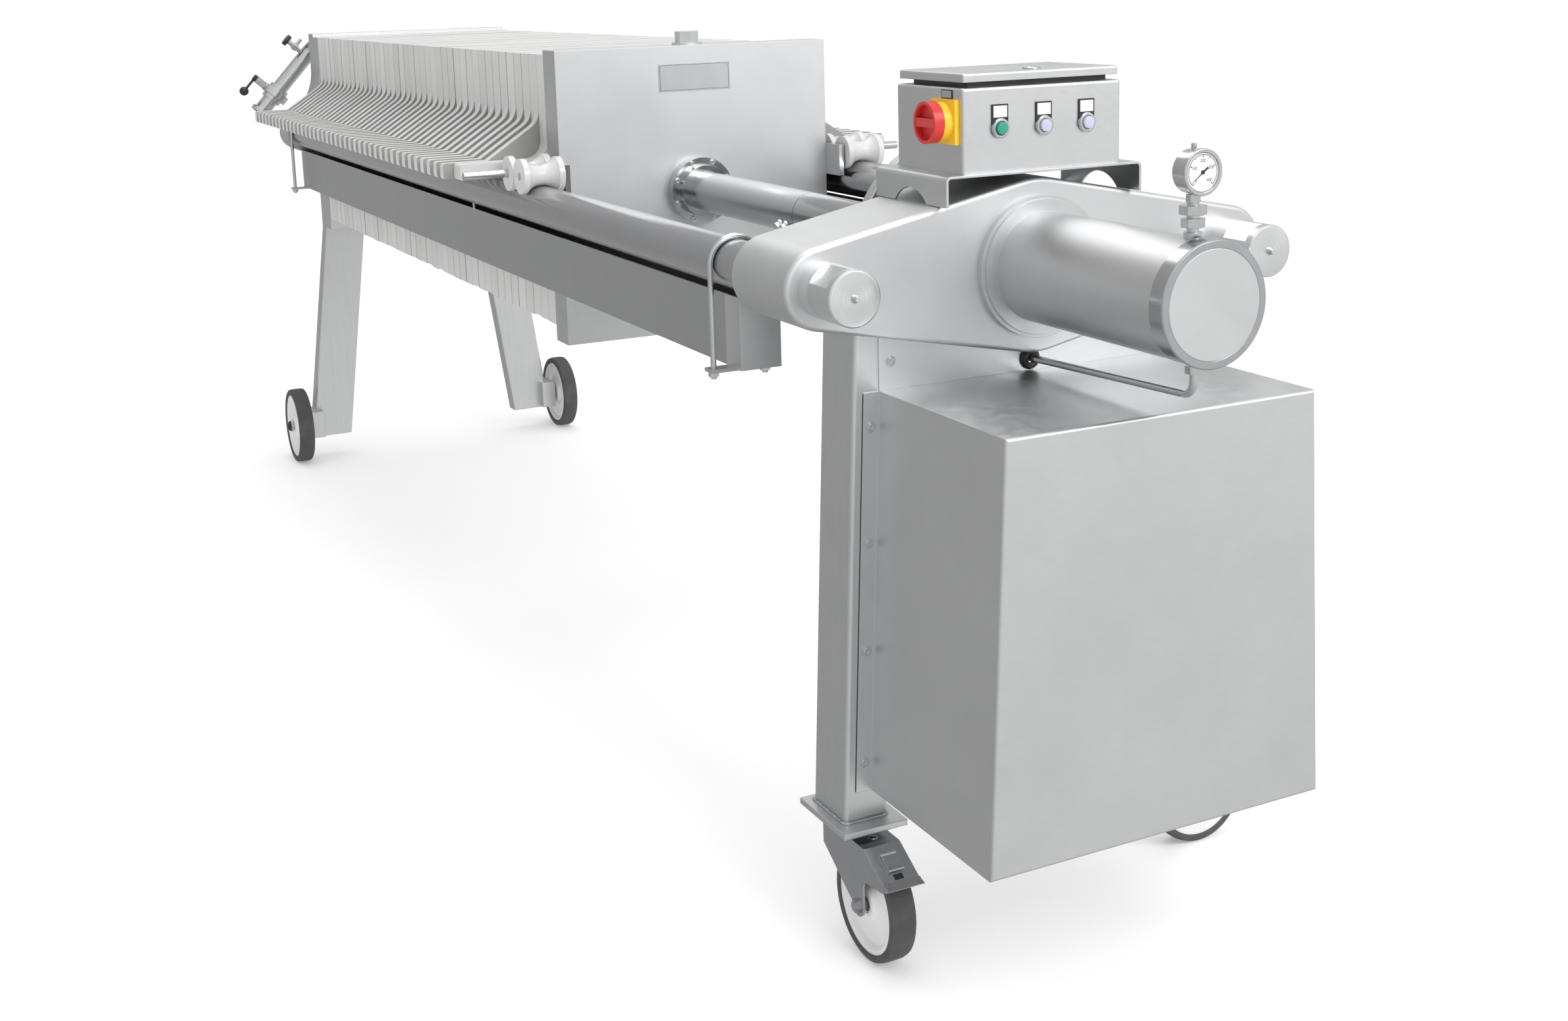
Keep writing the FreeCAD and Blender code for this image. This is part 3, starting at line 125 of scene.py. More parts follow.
def steel(name, tone, rough, brush, streak=0.03, edge=0.0012, metallic=1.0):
    """Satin steel: fine scratches along one direction, cloudy handling marks and eased edges."""
    shade = Shader(name)
    lines = shade.noise(1.0, 2.0, shade.stretched(brush))
    grit = shade.noise(900.0, 2.0)
    cloud = shade.noise(3.2, 4.0)
    wipe = shade.noise(14.0, 3.0)
    shade.surface(
        Base_Color=shade.tinted(tone, shade.spread(lines, 1 - streak, 1 + streak),
                                shade.spread(cloud, 0.965, 1.03), shade.spread(wipe, 0.985, 1.012)),
        Metallic=metallic,
        Roughness=shade.math("ADD", shade.spread(lines, rough - 0.04, rough + 0.05),
                             shade.spread(cloud, -0.03, 0.04)))
    mixed = shade.math("ADD", shade.math("MULTIPLY", lines, 0.6), shade.math("MULTIPLY", grit, 0.4))
    shade.relief(mixed, 0.05, 0.0006, edge)
    return shade.material


def turned_steel(name, tone, rough, rings=900.0, anisotropy=0.65):
    """Lathe-turned steel round the piece's own X axis, with rings that catch the light in fans."""
    shade = Shader(name)
    x, y, z = shade.split()
    radius = shade.math("SQRT", shade.math("ADD", shade.math("MULTIPLY", y, y), shade.math("MULTIPLY", z, z)))
    along = shade.add("ShaderNodeCombineXYZ", {"X": shade.math("MULTIPLY", radius, rings),
                                               "Y": shade.math("MULTIPLY", x, rings)}).outputs[0]
    groove = shade.noise(1.0, 3.0, along)
    tangent = shade.add("ShaderNodeVectorMath", {0: tuple(X_AXIS), 1: shade.place}, operation="CROSS_PRODUCT")
    shade.surface(Base_Color=shade.tinted(tone, shade.spread(groove, 0.94, 1.05)), Metallic=1.0,
                  Roughness=shade.spread(groove, rough - 0.05, rough + 0.07),
                  Anisotropic=anisotropy, Tangent=tangent.outputs[0])
    shade.relief(groove, 0.12, 0.0003, 0.0008)
    return shade.material


def polished_bar(name, tone, rough):
    """Hard chrome on a ground bar: near-mirror with faint rings and lengthwise wear."""
    shade = Shader(name)
    rings = shade.noise(1.0, 2.0, shade.stretched((420.0, 6.0, 6.0)))
    wear = shade.noise(1.0, 4.0, shade.stretched((2.2, 26.0, 26.0)))
    shade.surface(Base_Color=shade.tinted(tone, shade.spread(rings, 0.97, 1.02), shade.spread(wear, 0.93, 1.03)),
                  Metallic=1.0, Roughness=shade.spread(wear, rough - 0.03, rough + 0.07))
    shade.relief(rings, 0.03, 0.0003)
    return shade.material


def plastic(name, color, rough, mottle=0.02, grain=500.0, strength=0.08, coat=0.0, subsurface=0.0):
    """Moulded or machined plastic with a slight mottle and a fine surface grain."""
    shade = Shader(name)
    cloud = shade.noise(9.0, 4.0)
    fine = shade.noise(grain, 3.0)
    shade.surface(Base_Color=shade.tinted(color, shade.spread(cloud, 1 - mottle, 1 + mottle),
                                          shade.spread(fine, 0.985, 1.012)),
                  Roughness=shade.spread(fine, rough - 0.04, rough + 0.05),
                  Coat_Weight=coat, Coat_Roughness=0.15)
    if subsurface:
        shade.surface(Subsurface_Weight=subsurface, Subsurface_Scale=0.01)
    shade.relief(fine, strength, 0.0005, 0.0008)
    return shade.material


def plate_plastic(name, start, pitch, color):
    """Pressed polypropylene: every plate has its own tone and fine saw and mould lines, and painted shade darkens its
    colour near each seam.
    """
    shade = Shader(name)
    x = shade.split()[0]
    count = shade.math("FLOOR", shade.math("DIVIDE", shade.math("SUBTRACT", x, start), pitch))
    own = shade.add("ShaderNodeTexWhiteNoise", {"W": count}, noise_dimensions="1D").outputs[0]
    # painted shade: share and edge give the distance to the nearest seam between plates, and the colour darkens to half
    # within about 2 mm of it
    share = shade.math("FRACT", shade.math("DIVIDE", shade.math("SUBTRACT", x, start), pitch))
    edge = shade.math("MULTIPLY", shade.math("MINIMUM", share, shade.math("SUBTRACT", 1.0, share)), pitch)
    lines = shade.noise(1.0, 3.0, shade.stretched((260.0, 9.0, 9.0)))
    cloud = shade.noise(6.0, 4.0)
    speck = shade.noise(700.0, 2.0)
    shade.surface(Base_Color=shade.tinted(color, shade.spread(own, 0.93, 1.04, 0.0, 1.0),
                                          shade.spread(edge, 0.5, 1.0, 0.0004, 0.0024),
                                          shade.spread(cloud, 0.97, 1.025), shade.spread(lines, 0.975, 1.015)),
                  Roughness=shade.spread(cloud, 0.42, 0.58),
                  Subsurface_Weight=0.08, Subsurface_Scale=0.006)
    shade.relief(shade.math("ADD", lines, speck), 0.1, 0.0006, 0.0015)
    return shade.material


def rubber(name, color):
    """Tyre rubber: matt, dusty where it runs and with fine moulding grain."""
    shade = Shader(name)
    dust = shade.noise(24.0, 5.0)
    fine = shade.noise(650.0, 3.0)
    shade.surface(Base_Color=shade.tinted(color, shade.spread(dust, 0.8, 1.35), shade.spread(fine, 0.94, 1.06)),
                  Roughness=shade.spread(dust, 0.58, 0.8))
    shade.relief(fine, 0.25, 0.0005, 0.0015)
    return shade.material


sheet = steel("satin_sheet", (0.66, 0.665, 0.67), 0.36, (40.0, 40.0, 520.0), 0.02)
sheet_x = steel("gutter_sheet", (0.48, 0.485, 0.49), 0.30, (30.0, 500.0, 500.0), 0.03)
blasted = steel("bead_blasted", (0.66, 0.665, 0.67), 0.46, (700.0, 700.0, 700.0), 0.025, 0.0018)
stainless = steel("stainless", (0.58, 0.585, 0.59), 0.20, (420.0, 420.0, 140.0), 0.03)
legs = steel("leg_steel", (0.64, 0.645, 0.65), 0.38, (300.0, 300.0, 8.0), 0.035, 0.003)
box_steel = steel("box_sheet", (0.66, 0.665, 0.67), 0.34, (60.0, 60.0, 620.0), 0.02, 0.0018)
zinc = steel("zinc_plate", (0.47, 0.475, 0.49), 0.25, (90.0, 90.0, 90.0), 0.03, 0.0015)
chrome = polished_bar("hard_chrome", (0.47, 0.475, 0.485), 0.16)
barrel = steel("barrel_steel", (0.60, 0.605, 0.61), 0.42, (520.0, 60.0, 60.0), 0.010)
turned = turned_steel("turned_steel", (0.70, 0.705, 0.71), 0.24)
pack_low, pack_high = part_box("filter_plates_rear")
PITCH = 0.0541
plates = plate_plastic("filter_plate", pack_low.x, PITCH, (0.67, 0.668, 0.66))
roller_white = plastic("roller_white", (0.64, 0.64, 0.635), 0.28, 0.015, coat=0.25, subsurface=0.1)
yellow = plastic("switch_yellow", (0.86, 0.55, 0.03), 0.38)
red = plastic("switch_red", (0.62, 0.035, 0.03), 0.34)
green = plastic("button_green", (0.015, 0.30, 0.20), 0.22, coat=0.5)
lilac = plastic("button_lilac", (0.50, 0.52, 0.66), 0.22, coat=0.5)
black = plastic("black_plastic", (0.018, 0.018, 0.019), 0.36)
label_white = plastic("label_white", (0.82, 0.82, 0.81), 0.45)
label_steel = steel("label_plate", (0.56, 0.565, 0.57), 0.30, (600.0, 20.0, 5.0), 0.03, 0.0005)
tyre = rubber("tyre_rubber", (0.070, 0.070, 0.073))
hub_white = plastic("hub_white", (0.80, 0.80, 0.795), 0.42, 0.04)
dial_white = plastic("dial_white", (0.84, 0.84, 0.83), 0.5, 0.01)
ink = plastic("ink", (0.02, 0.02, 0.022), 0.5, 0.02)

FINISH = {
    sheet: ["power_cover", "upper_panel"],
    sheet_x: ["drip_gutters"],
    blasted: ["crosshead", "fixed_head", "inlet_plate", "moving_head"],
    stainless: ["gauge_fittings", "gutter_hangers", "oil_pipe", "outlet_pipe", "outlet_valve", "roller_carriers",
                "pressure_gauge"],
    legs: ["front_pillars", "rear_legs"],
    box_steel: ["box_bracket", "control_box", "box_lid"],
    zinc: ["caster_fork_left", "caster_fork_right"],
    chrome: ["guide_bars", "push_rod", "cylinder_cap"],
    barrel: ["ram_cylinder"],
    turned: ["bar_nuts"],
    plates: ["filter_plates_rear", "filter_plates_front", "loose_plate_1", "loose_plate_2", "end_plate"],
    roller_white: ["roller_front_left", "roller_front_right", "roller_rear_left", "roller_rear_right"],
    yellow: ["switch_plate"], red: ["main_switch"], green: ["start_button"], lilac: ["reset_button", "stop_button"],
    black: ["valve_lever", "sampling_knob"],
    tyre: ["front_wheel_left", "front_wheel_right", "rear_wheel_left", "rear_wheel_right"],
}
for finish, names in FINISH.items():
    for node_name in names:
        mesh = nodes[node_name].data
        mesh.materials.clear()
        mesh.materials.append(finish)

# ---- shapes ----
def facing(origin, direction):
    """Places local Z along a direction at a point."""
    direction = Vector(direction)
    turn = direction.to_track_quat("Z", "Y").to_matrix().to_4x4()
    return Matrix.Translation(Vector(origin)) @ turn


class Shape:
    """One piece's mesh, built from turned, extruded and swept forms."""

    def __init__(self):
        self.bm = bmesh.new()

    def lathe(self, profile, origin=(0, 0, 0), direction=Z_AXIS, segments=56, closed=False):
        """Turns (radius, height) points about a direction; a point at radius 0 closes an end."""
        place = facing(origin, direction)
        rings = []
        for radius, height in profile:
            if radius < 1e-6:
                rings.append([self.bm.verts.new(place @ Vector((0, 0, height)))])
                continue
            ring = []
            for step in range(segments):
                angle = 2 * math.pi * step / segments
                ring.append(self.bm.verts.new(
                    place @ Vector((radius * math.cos(angle), radius * math.sin(angle), height))))
            rings.append(ring)
        pairs = list(zip(rings, rings[1:]))
        if closed:
            pairs.append((rings[-1], rings[0]))
        for low, high in pairs:
            for step in range(segments):
                after = (step + 1) % segments
                corners = [low[step % len(low)], low[after % len(low)],
                           high[after % len(high)], high[step % len(high)]]
                corners = list(dict.fromkeys(corners))
                if len(corners) > 2:
                    self.bm.faces.new(corners)
        return self

    def prism(self, outline, depth, place, bevel=0.0):
        """Extrudes a flat outline along local Z, with eased edges."""
        low = [self.bm.verts.new(place @ Vector((x, y, 0))) for x, y in outline]
        high = [self.bm.verts.new(place @ Vector((x, y, depth))) for x, y in outline]
        faces = [self.bm.faces.new(low[::-1]), self.bm.faces.new(high)]
        for step in range(len(low)):
            after = (step + 1) % len(low)
            faces.append(self.bm.faces.new([low[step], low[after], high[after], high[step]]))
        if bevel:
            edges = set()
            for face in faces:
                for edge in face.edges:
                    if len(edge.link_faces) == 2 and edge.calc_face_angle(0) > 0.5:
                        edges.add(edge)
            bmesh.ops.bevel(self.bm, geom=list(edges), offset=bevel, segments=2, profile=0.5,
                            affect="EDGES", clamp_overlap=True)
        return self

    def box(self, low, high, bevel=0.0):
        (x0, y0, z0), (x1, y1, z1) = low, high
        return self.prism([(x0, y0), (x1, y0), (x1, y1), (x0, y1)], z1 - z0,
                          Matrix.Translation((0, 0, z0)), bevel)

    def hexagon(self, across, length, origin, direction, bevel=0.0006):
        radius = across / math.sqrt(3)
        outline = [(radius * math.cos(math.radians(60 * k)), radius * math.sin(math.radians(60 * k)))
                   for k in range(6)]
        return self.prism(outline, length, facing(origin, direction), bevel)

    def tube(self, points, radius, sides=10, closed=False):
        """Sweeps a circle along points; radius may be a list with one value a point."""
        points = [Vector(point) for point in points]
        radii = radius if isinstance(radius, list) else [radius] * len(points)
        rings = []
        for index, point in enumerate(points):
            before = points[index - 1] if closed or index else point
            after = points[(index + 1) % len(points)] if closed or index + 1 < len(points) else point
            place = facing(point, (after - before).normalized())
            rings.append([self.bm.verts.new(place @ Vector((
                radii[index] * math.cos(2 * math.pi * k / sides), radii[index] * math.sin(2 * math.pi * k / sides), 0)))
                for k in range(sides)])
        pairs = list(zip(rings, rings[1:]))
        if closed:
            pairs.append((rings[-1], rings[0]))
        for low, high in pairs:
            for k in range(sides):
                m = (k + 1) % sides
                self.bm.faces.new([low[k], low[m], high[m], high[k]])
        if not closed:
            self.bm.faces.new(rings[0][::-1])
            self.bm.faces.new(rings[-1])
        return self

    def make(self, name, finish, body, slot, replaces=(), origin=None, sharp=35):
        """Turns the mesh into a piece on a body, with its material; the slot argument is not used."""
        bmesh.ops.recalc_face_normals(self.bm, faces=self.bm.faces)
        if origin is not None:
            bmesh.ops.translate(self.bm, vec=-Vector(origin), verts=self.bm.verts)
        mesh = bpy.data.meshes.new(name)
        self.bm.to_mesh(mesh)
        self.bm.free()
        mesh.shade_smooth()
        mesh.set_sharp_from_angle(angle=math.radians(sharp))
        mesh.materials.append(finish)
        piece = bpy.data.objects.new(name, mesh)
        if origin is not None:
            piece.location = origin
        scene.collection.objects.link(piece)
        bpy.context.view_layer.update()
        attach(piece, body)
        if replaces:
            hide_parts(*replaces)
        return piece


def middle(node):
    low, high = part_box(node)
    return (low + high) / 2


def screw(shape, origin, direction, radius=0.006, height=0.0026):
    """Socket screw head with a washer; the socket is a round dish."""
    shape.lathe([(0, 0), (radius * 1.45, 0), (radius * 1.45, 0.001), (radius, 0.001), (radius, height - 0.0006),
                 (radius - 0.0006, height), (radius * 0.52, height), (radius * 0.46, height * 0.45),
                 (0, height * 0.4)], origin, direction, 24)


# ---- wheels: tyre and dished hub for each ----
def wheel(name, body, axis, tread, outward):
    low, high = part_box(name)
    centre = (low + high) / 2
    radius = (high.z - low.z) / 2
    half = abs((high - low).dot(axis)) / 2
    rim = radius - tread
    shoulder = [(rim, half - 0.003), (rim + 0.002, half - 0.0008), (radius - 0.006, half - 0.0004),
                (radius - 0.002, half - 0.003), (radius - 0.0003, half - 0.009), (radius, half - 0.016)]
    loop = shoulder + [(r, -h) for r, h in reversed(shoulder)]
    Shape().lathe(loop, centre, axis, 96, closed=True).make(
        f"{name}_tyre", tyre, body, "wheel_rubber", replaces=[name], origin=centre)
    face = [(rim, half - 0.004), (rim - 0.007, half - 0.004), (rim - 0.009, half - 0.006),
            (rim - 0.013, half - 0.013), (rim * 0.62, half - 0.016), (rim * 0.40, half - 0.014),
            (rim * 0.34, half - 0.006), (rim * 0.30, half - 0.004), (0.016, half - 0.004), (0.014, half - 0.006),
            (0.013, half - 0.006)]
    loop = face + [(r, -h) for r, h in reversed(face)]
    Shape().lathe(loop, centre, axis, 96, closed=True).make(
        f"{name}_hub", hub_white, body, "wheel_rubber", origin=centre)
    if outward is not None:
        end = centre + outward * half
        bolt = Shape()
        bolt.lathe([(0.0165, 0.004), (0.0175, 0.0075), (0.0150, 0.0120), (0.0085, 0.0152), (0, 0.0162)],
                   end, outward, 40)
        bolt.make(f"{name}_axle_cap", black, FRAME_BODY, "black_plastic")


wheel("rear_wheel_left", "rear_wheel_left", Y_AXIS, 0.020, -Y_AXIS)
wheel("rear_wheel_right", "rear_wheel_right", Y_AXIS, 0.020, Y_AXIS)
wheel("front_wheel_left", "front_wheel_left", Y_AXIS, 0.014, None)
wheel("front_wheel_right", "front_wheel_right", X_AXIS, 0.014, None)


# ---- filter plates with sawn edges, handles and their shoes ----
def arc(centre, radius, start, stop, steps=5):
    return [(centre[0] + radius * math.cos(math.radians(start + (stop - start) * k / steps)),
             centre[1] + radius * math.sin(math.radians(start + (stop - start) * k / steps)))
            for k in range(steps + 1)]


HALF_PLATE, PLATE_DROP, PLATE_RISE = 0.328, 0.290, 0.315
PLATE_THICK, EAR_THICK = 0.0538, 0.027
UNDER, TOP, SHOE, TIP, TIP_ROUND = 0.051, 0.086, 0.0431, 0.553, 0.006
GUSSET_Y, FILLET, SLOPE = 0.45119, 0.042, 33
ear_outline = [
    (0.300, UNDER), (BAR_Y - 0.022, UNDER), (BAR_Y - 0.022, SHOE), (BAR_Y + 0.022, SHOE), (BAR_Y + 0.022, UNDER),
    *arc((TIP - TIP_ROUND, UNDER + TIP_ROUND), TIP_ROUND, -90, 0, 4),
    *arc((TIP - TIP_ROUND, TOP - TIP_ROUND), TIP_ROUND, 0, 90, 4),
    (GUSSET_Y, TOP),
    *arc((HALF_PLATE + FILLET, 0.1888), FILLET, 270 - SLOPE, 180, 8),
    (0.300, 0.1888)]


def plate_template():
    """One plate at x 0 with its two handles, as a mesh."""
    shape = Shape()
    shape.box((0, -HALF_PLATE, -PLATE_DROP), (PLATE_THICK, HALF_PLATE, PLATE_RISE), 0.0022)
    for sign in (-1, 1):
        outline = [(y * sign, z) for y, z in ear_outline]
        place = Matrix(((0, 0, 1, PLATE_THICK - EAR_THICK), (1, 0, 0, 0), (0, 1, 0, 0), (0, 0, 0, 1)))
        shape.prism(outline if sign > 0 else outline[::-1], EAR_THICK, place, 0.003)
    bmesh.ops.recalc_face_normals(shape.bm, faces=shape.bm.faces)
    template = bpy.data.meshes.new("plate_template")
    shape.bm.to_mesh(template)
    shape.bm.free()
    return template


def plate_row(name, node, count, body):
    """Copies of the plate at the pitch; each is cut a little differently at its sides and foot."""
    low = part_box(node)[0]
    shape = Shape()
    for index in range(count):
        before = len(shape.bm.verts)
        shape.bm.from_mesh(plate_mesh)
        shape.bm.verts.ensure_lookup_table()
        side_cut = random.uniform(0.0, 0.0014)
        foot_cut = random.uniform(0.0, 0.0035)
        top_cut = random.uniform(0.0, 0.0008)
        for vert in shape.bm.verts[before:]:
            if abs(vert.co.y) < HALF_PLATE + 0.0001:
                vert.co.y -= math.copysign(side_cut, vert.co.y)
                if vert.co.z < -PLATE_DROP + 0.01:
                    vert.co.z += foot_cut
                if vert.co.z > PLATE_RISE - 0.01:
                    vert.co.z -= top_cut
            vert.co.x += low.x + index * PITCH
            vert.co.z += AXIS_Z
    shape.make(name, plates, body, "plate_plastic", replaces=[node], sharp=40)


plate_mesh = plate_template()
plate_row("rear_plate_row", "filter_plates_rear", 19, FRAME_BODY)
plate_row("front_plate_row", "filter_plates_front", 20, FRAME_BODY)
plate_row("loose_plate_body_1", "loose_plate_1", 1, "loose_plate_1")
plate_row("loose_plate_body_2", "loose_plate_2", 1, "loose_plate_2")

# ---- bare name plate and rod fastenings on the moving head ----
head_front = middle("moving_head").x + 0.038
plate_face = Shape().box((head_front + 0.0002, -0.087, 1.347), (head_front + 0.0012, 0.086, 1.408), 0.0003)
plate_face.make("bare_name_plate", label_steel, HEAD_BODY, "polished_steel")
border = Shape()
edge_x = (head_front + 0.0011, head_front + 0.0014)
for low, high in (((-0.0845, 1.3495), (0.0835, 1.3502)), ((-0.0845, 1.4048), (0.0835, 1.4055)),
                  ((-0.0845, 1.3495), (-0.0838, 1.4055)), ((0.0828, 1.3495), (0.0835, 1.4055))):
    border.box((edge_x[0], *low), (edge_x[1], *high))
border.make("name_plate_border", ink, HEAD_BODY, "black_plastic")
rivets = Shape()
for rivet_y in (-0.082, 0.081):
    for rivet_z in (1.3515, 1.4035):
        rivets.lathe([(0, 0), (0.0022, 0), (0.0019, 0.0009), (0, 0.0012)],
                     (head_front + 0.001, rivet_y, rivet_z), X_AXIS, 16)
rivets.make("name_plate_rivets", stainless, HEAD_BODY, "stainless")
rod_screws = Shape()
for step in range(8):
    turn = math.radians(22.5 + 45 * step)
    screw(rod_screws, (head_front + 0.0248, 0.067 * math.cos(turn), AXIS_Z + 0.067 * math.sin(turn)), X_AXIS, 0.0055, 0.005)
for bolt_x in (0.921, 0.947):
    spot = Vector((bolt_x, -0.041, AXIS_Z - 0.019))
    out = Vector((0, -0.91, -0.42))
    rod_screws.lathe([(0, 0), (0.0095, 0), (0.0095, 0.006), (0, 0.006)], spot, out, 24)
    rod_screws.hexagon(0.014, 0.009, spot + out * 0.006, out)
rod_screws.make("rod_flange_screws", stainless, HEAD_BODY, "stainless")

# ---- turned end faces of the nuts and the ram's cap ----
nut_low, nut_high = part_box("bar_nuts")
for side, sign in (("left", -1), ("right", 1)):
    for end, face_x, facing_x in (("front", nut_high.x - 0.009, 1), ("rear", nut_low.x + 0.009, -1)):
        spot = (face_x, BAR_Y * sign, AXIS_Z)
        Shape().lathe([(0.0072, 0), (0.0072, 0.0003), (0.0405, 0.0003), (0.0415, 0)], spot, X_AXIS * facing_x, 64).make(
            f"nut_face_{end}_{side}", turned, FRAME_BODY, "polished_steel", origin=spot)
cap_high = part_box("cylinder_cap")[1]
spot = (cap_high.x - 0.003, 0, AXIS_Z)
Shape().lathe([(0, 0.0029), (0.0800, 0.0029), (0.0805, 0.0024), (0.0805, 0)], spot, X_AXIS, 96).make(
    "cap_face", blasted, FRAME_BODY, "polished_steel", origin=spot)

# ---- pressure gauge: dial, scale, figures and pointer ----
gauge_low, gauge_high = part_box("pressure_gauge")
GAUGE_Z = 1.307
dial_x = gauge_high.x - 0.0028
dial_centre = Vector((dial_x, 0, GAUGE_Z))
Shape().lathe([(0, 0), (0.0272, 0), (0.0272, 0.0004), (0, 0.0004)], dial_centre, X_AXIS, 64).make(
    "gauge_dial", dial_white, FRAME_BODY, "gauge_steel")


def dial_point(share, radius, rise=0.0006):
    angle = math.radians(225 - 270 * share)
    return dial_centre + Vector((rise, radius * math.cos(angle), radius * math.sin(angle)))


scale_marks = Shape()
for step in range(41):
    inner = 0.0205 if step % 10 == 0 else 0.0222 if step % 5 == 0 else 0.0232
    scale_marks.tube([dial_point(step / 40, inner), dial_point(step / 40, 0.0252)],
                     0.0005 if step % 10 == 0 else 0.0003, 6)
scale_marks.tube([dial_point(step / 60, 0.0252) for step in range(61)], 0.0003, 6)
for value in (0, 100, 200, 300, 400):
    curve = bpy.data.curves.new(f"figure_{value}", "FONT")
    curve.body = str(value)
    curve.size = 0.0068
    curve.align_x = "CENTER"
    curve.align_y = "CENTER"
    holder = bpy.data.objects.new(f"figure_{value}", curve)
    scene.collection.objects.link(holder)
    bpy.context.view_layer.update()
    figures = bpy.data.meshes.new_from_object(holder.evaluated_get(bpy.context.evaluated_depsgraph_get()))
    spot = dial_point(value / 400, 0.0163)
    figures.transform(Matrix(((0, 0, 1, spot.x), (1, 0, 0, spot.y), (0, 1, 0, spot.z), (0, 0, 0, 1))))
    scale_marks.bm.from_mesh(figures)
    bpy.data.objects.remove(holder)
scale_marks.make("gauge_scale", ink, FRAME_BODY, "black_plastic")
pointer = Shape()
pointer.tube([dial_point(0.697, 0.0105, 0.0018), dial_point(0.697, 0.0040, 0.0018), dial_point(0.03, 0.0020, 0.0018),
              dial_point(0.03, 0.0235, 0.0018)], [0.0015, 0.0013, 0.0008, 0.0003], 8)
pointer.lathe([(0, 0), (0.0032, 0), (0.0028, 0.0016), (0, 0.0018)], dial_centre + X_AXIS * 0.0006, X_AXIS, 24)
pointer.make("gauge_pointer", ink, FRAME_BODY, "black_plastic")

# ---- control box: button rings and caps, bare labels, lid lock ----
box_low, box_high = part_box("control_box")
box_front = middle("start_button").x
box_face = 1.7822
for name, finish in (("start_button", green), ("reset_button", lilac), ("stop_button", lilac)):
    low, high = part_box(name)
    spot = (low + high) / 2
    Shape().lathe([(0.0106, 0.001), (0.0158, 0.001), (0.0158, 0.0050), (0.0146, 0.0066), (0.0118, 0.0070),
                   (0.0106, 0.0062)],
                  (box_face, spot.y, spot.z), X_AXIS, 48, closed=True).make(
        f"{name}_ring", stainless, FRAME_BODY, "stainless")
    Shape().lathe([(0.0099, -0.001), (0.0099, 0.0006), (0.0092, 0.0014), (0.006, 0.0021), (0, 0.0024)],
                  (high.x, spot.y, spot.z), X_AXIS, 40).make(
        f"{name}_cap", finish, name, "green_plastic" if finish is green else "pale_plastic")
    Shape().box((box_face, spot.y - 0.0150, spot.z - 0.0060), (box_face + 0.0022, spot.y + 0.0150, spot.z + 0.0375),
                0.0012).make(f"{name}_label_frame", black, FRAME_BODY, "black_plastic")
    Shape().box((box_face + 0.002, spot.y - 0.0125, spot.z + 0.0170), (box_face + 0.0027, spot.y + 0.0125, spot.z + 0.0350),
                0.0003).make(f"{name}_label", label_white, FRAME_BODY, "pale_plastic")
switch_centre = middle("switch_plate")
Shape().box((switch_centre.x - 0.016, -0.1512, 1.3975), (switch_centre.x + 0.016, -0.1499, 1.4115), 0.0004).make(
    "switch_label_frame", black, FRAME_BODY, "black_plastic")
Shape().box((switch_centre.x - 0.0142, -0.1516, 1.3990), (switch_centre.x + 0.0142, -0.1510, 1.4100), 0.0002).make(
    "switch_label", label_steel, FRAME_BODY, "pale_plastic")
lid_low, lid_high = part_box("box_lid")
lock = Shape()
lock.lathe([(0, 0), (0.0145, 0), (0.0145, 0.0022), (0.0135, 0.0032), (0.009, 0.0032), (0.0085, 0.0018), (0, 0.0018)],
           (lid_high.x - 0.030, 0, lid_high.z - 0.0002), Z_AXIS, 40)
lock.make("lid_lock", stainless, "box_lid", "stainless")
# painted shade: a black bar in the lock's dish stands for the dark inside the key slot
Shape().box((lid_high.x - 0.0365, -0.0012, lid_high.z), (lid_high.x - 0.0235, 0.0012, lid_high.z + 0.0021), 0.0003).make(
    "lid_lock_slot_shade", black, "box_lid", "black_plastic")
gasket = Shape()
for low, high in (((box_low.x + 0.031, -0.131), (box_low.x + 0.189, -0.127)),
                  ((box_low.x + 0.031, 0.127), (box_low.x + 0.189, 0.131)),
                  ((box_low.x + 0.190, -0.131), (box_low.x + 0.194, 0.131))):
    gasket.box((*low, 1.4150), (*high, 1.4229), 0.0005)
gasket.make("lid_gasket", black, FRAME_BODY, "black_plastic")

# ---- screws of the cover and the upper panel, and the grommet of the oil pipe ----
cover_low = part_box("power_cover")[0]
cover_screws = Shape()
for z in (0.89, 0.70, 0.52, 0.33):
    for sign in (-1, 1):
        y = 0.325 - 0.028 * (z - 0.280) / 0.666
        screw(cover_screws, (cover_low.x + 0.0019, y * sign, z), X_AXIS)
panel_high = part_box("upper_panel")[1]
for sign in (-1, 1):
    screw(cover_screws, (panel_high.x - 0.0001, 0.262 * sign, 0.992), X_AXIS)
cover_screws.make("cover_screws", stainless, FRAME_BODY, "stainless")
Shape().lathe([(0.0075, 0), (0.0175, 0), (0.0185, 0.003), (0.0155, 0.008), (0.010, 0.010), (0.0075, 0.009)],
              (panel_high.x - 0.0001, 0, 0.966), X_AXIS, 40, closed=True).make(
    "oil_pipe_grommet", black, FRAME_BODY, "black_plastic")

# ---- weld beads of the front feet ----
pillar_x = cover_low.x - 0.0545
for side, sign, turn in (("left", -1, 0.0), ("right", 1, 90.0)):
    y_foot = 0.3605 * sign
    corners = []
    for cx, cy, start in ((0.0475, 0.033, 0), (-0.0475, 0.033, 90), (-0.0475, -0.033, 180), (0.0475, -0.033, 270)):
        corners += [(pillar_x + cx + 0.009 * math.cos(math.radians(start + 15 * k)),
                     y_foot - 0.040 * sign + cy + 0.009 * math.sin(math.radians(start + 15 * k)), 0.2302)
                    for k in range(7)]
    bead = []
    for index, corner in enumerate(corners):
        ahead = Vector(corners[(index + 1) % len(corners)])
        here = Vector(corner)
        steps = max(1, int((ahead - here).length / 0.0025))
        bead += [here.lerp(ahead, k / steps) for k in range(steps)]
    Shape().tube(bead, [random.uniform(0.0024, 0.0034) for _ in bead], 8, closed=True).make(
        f"foot_weld_{side}", zinc, FRAME_BODY, "stainless")

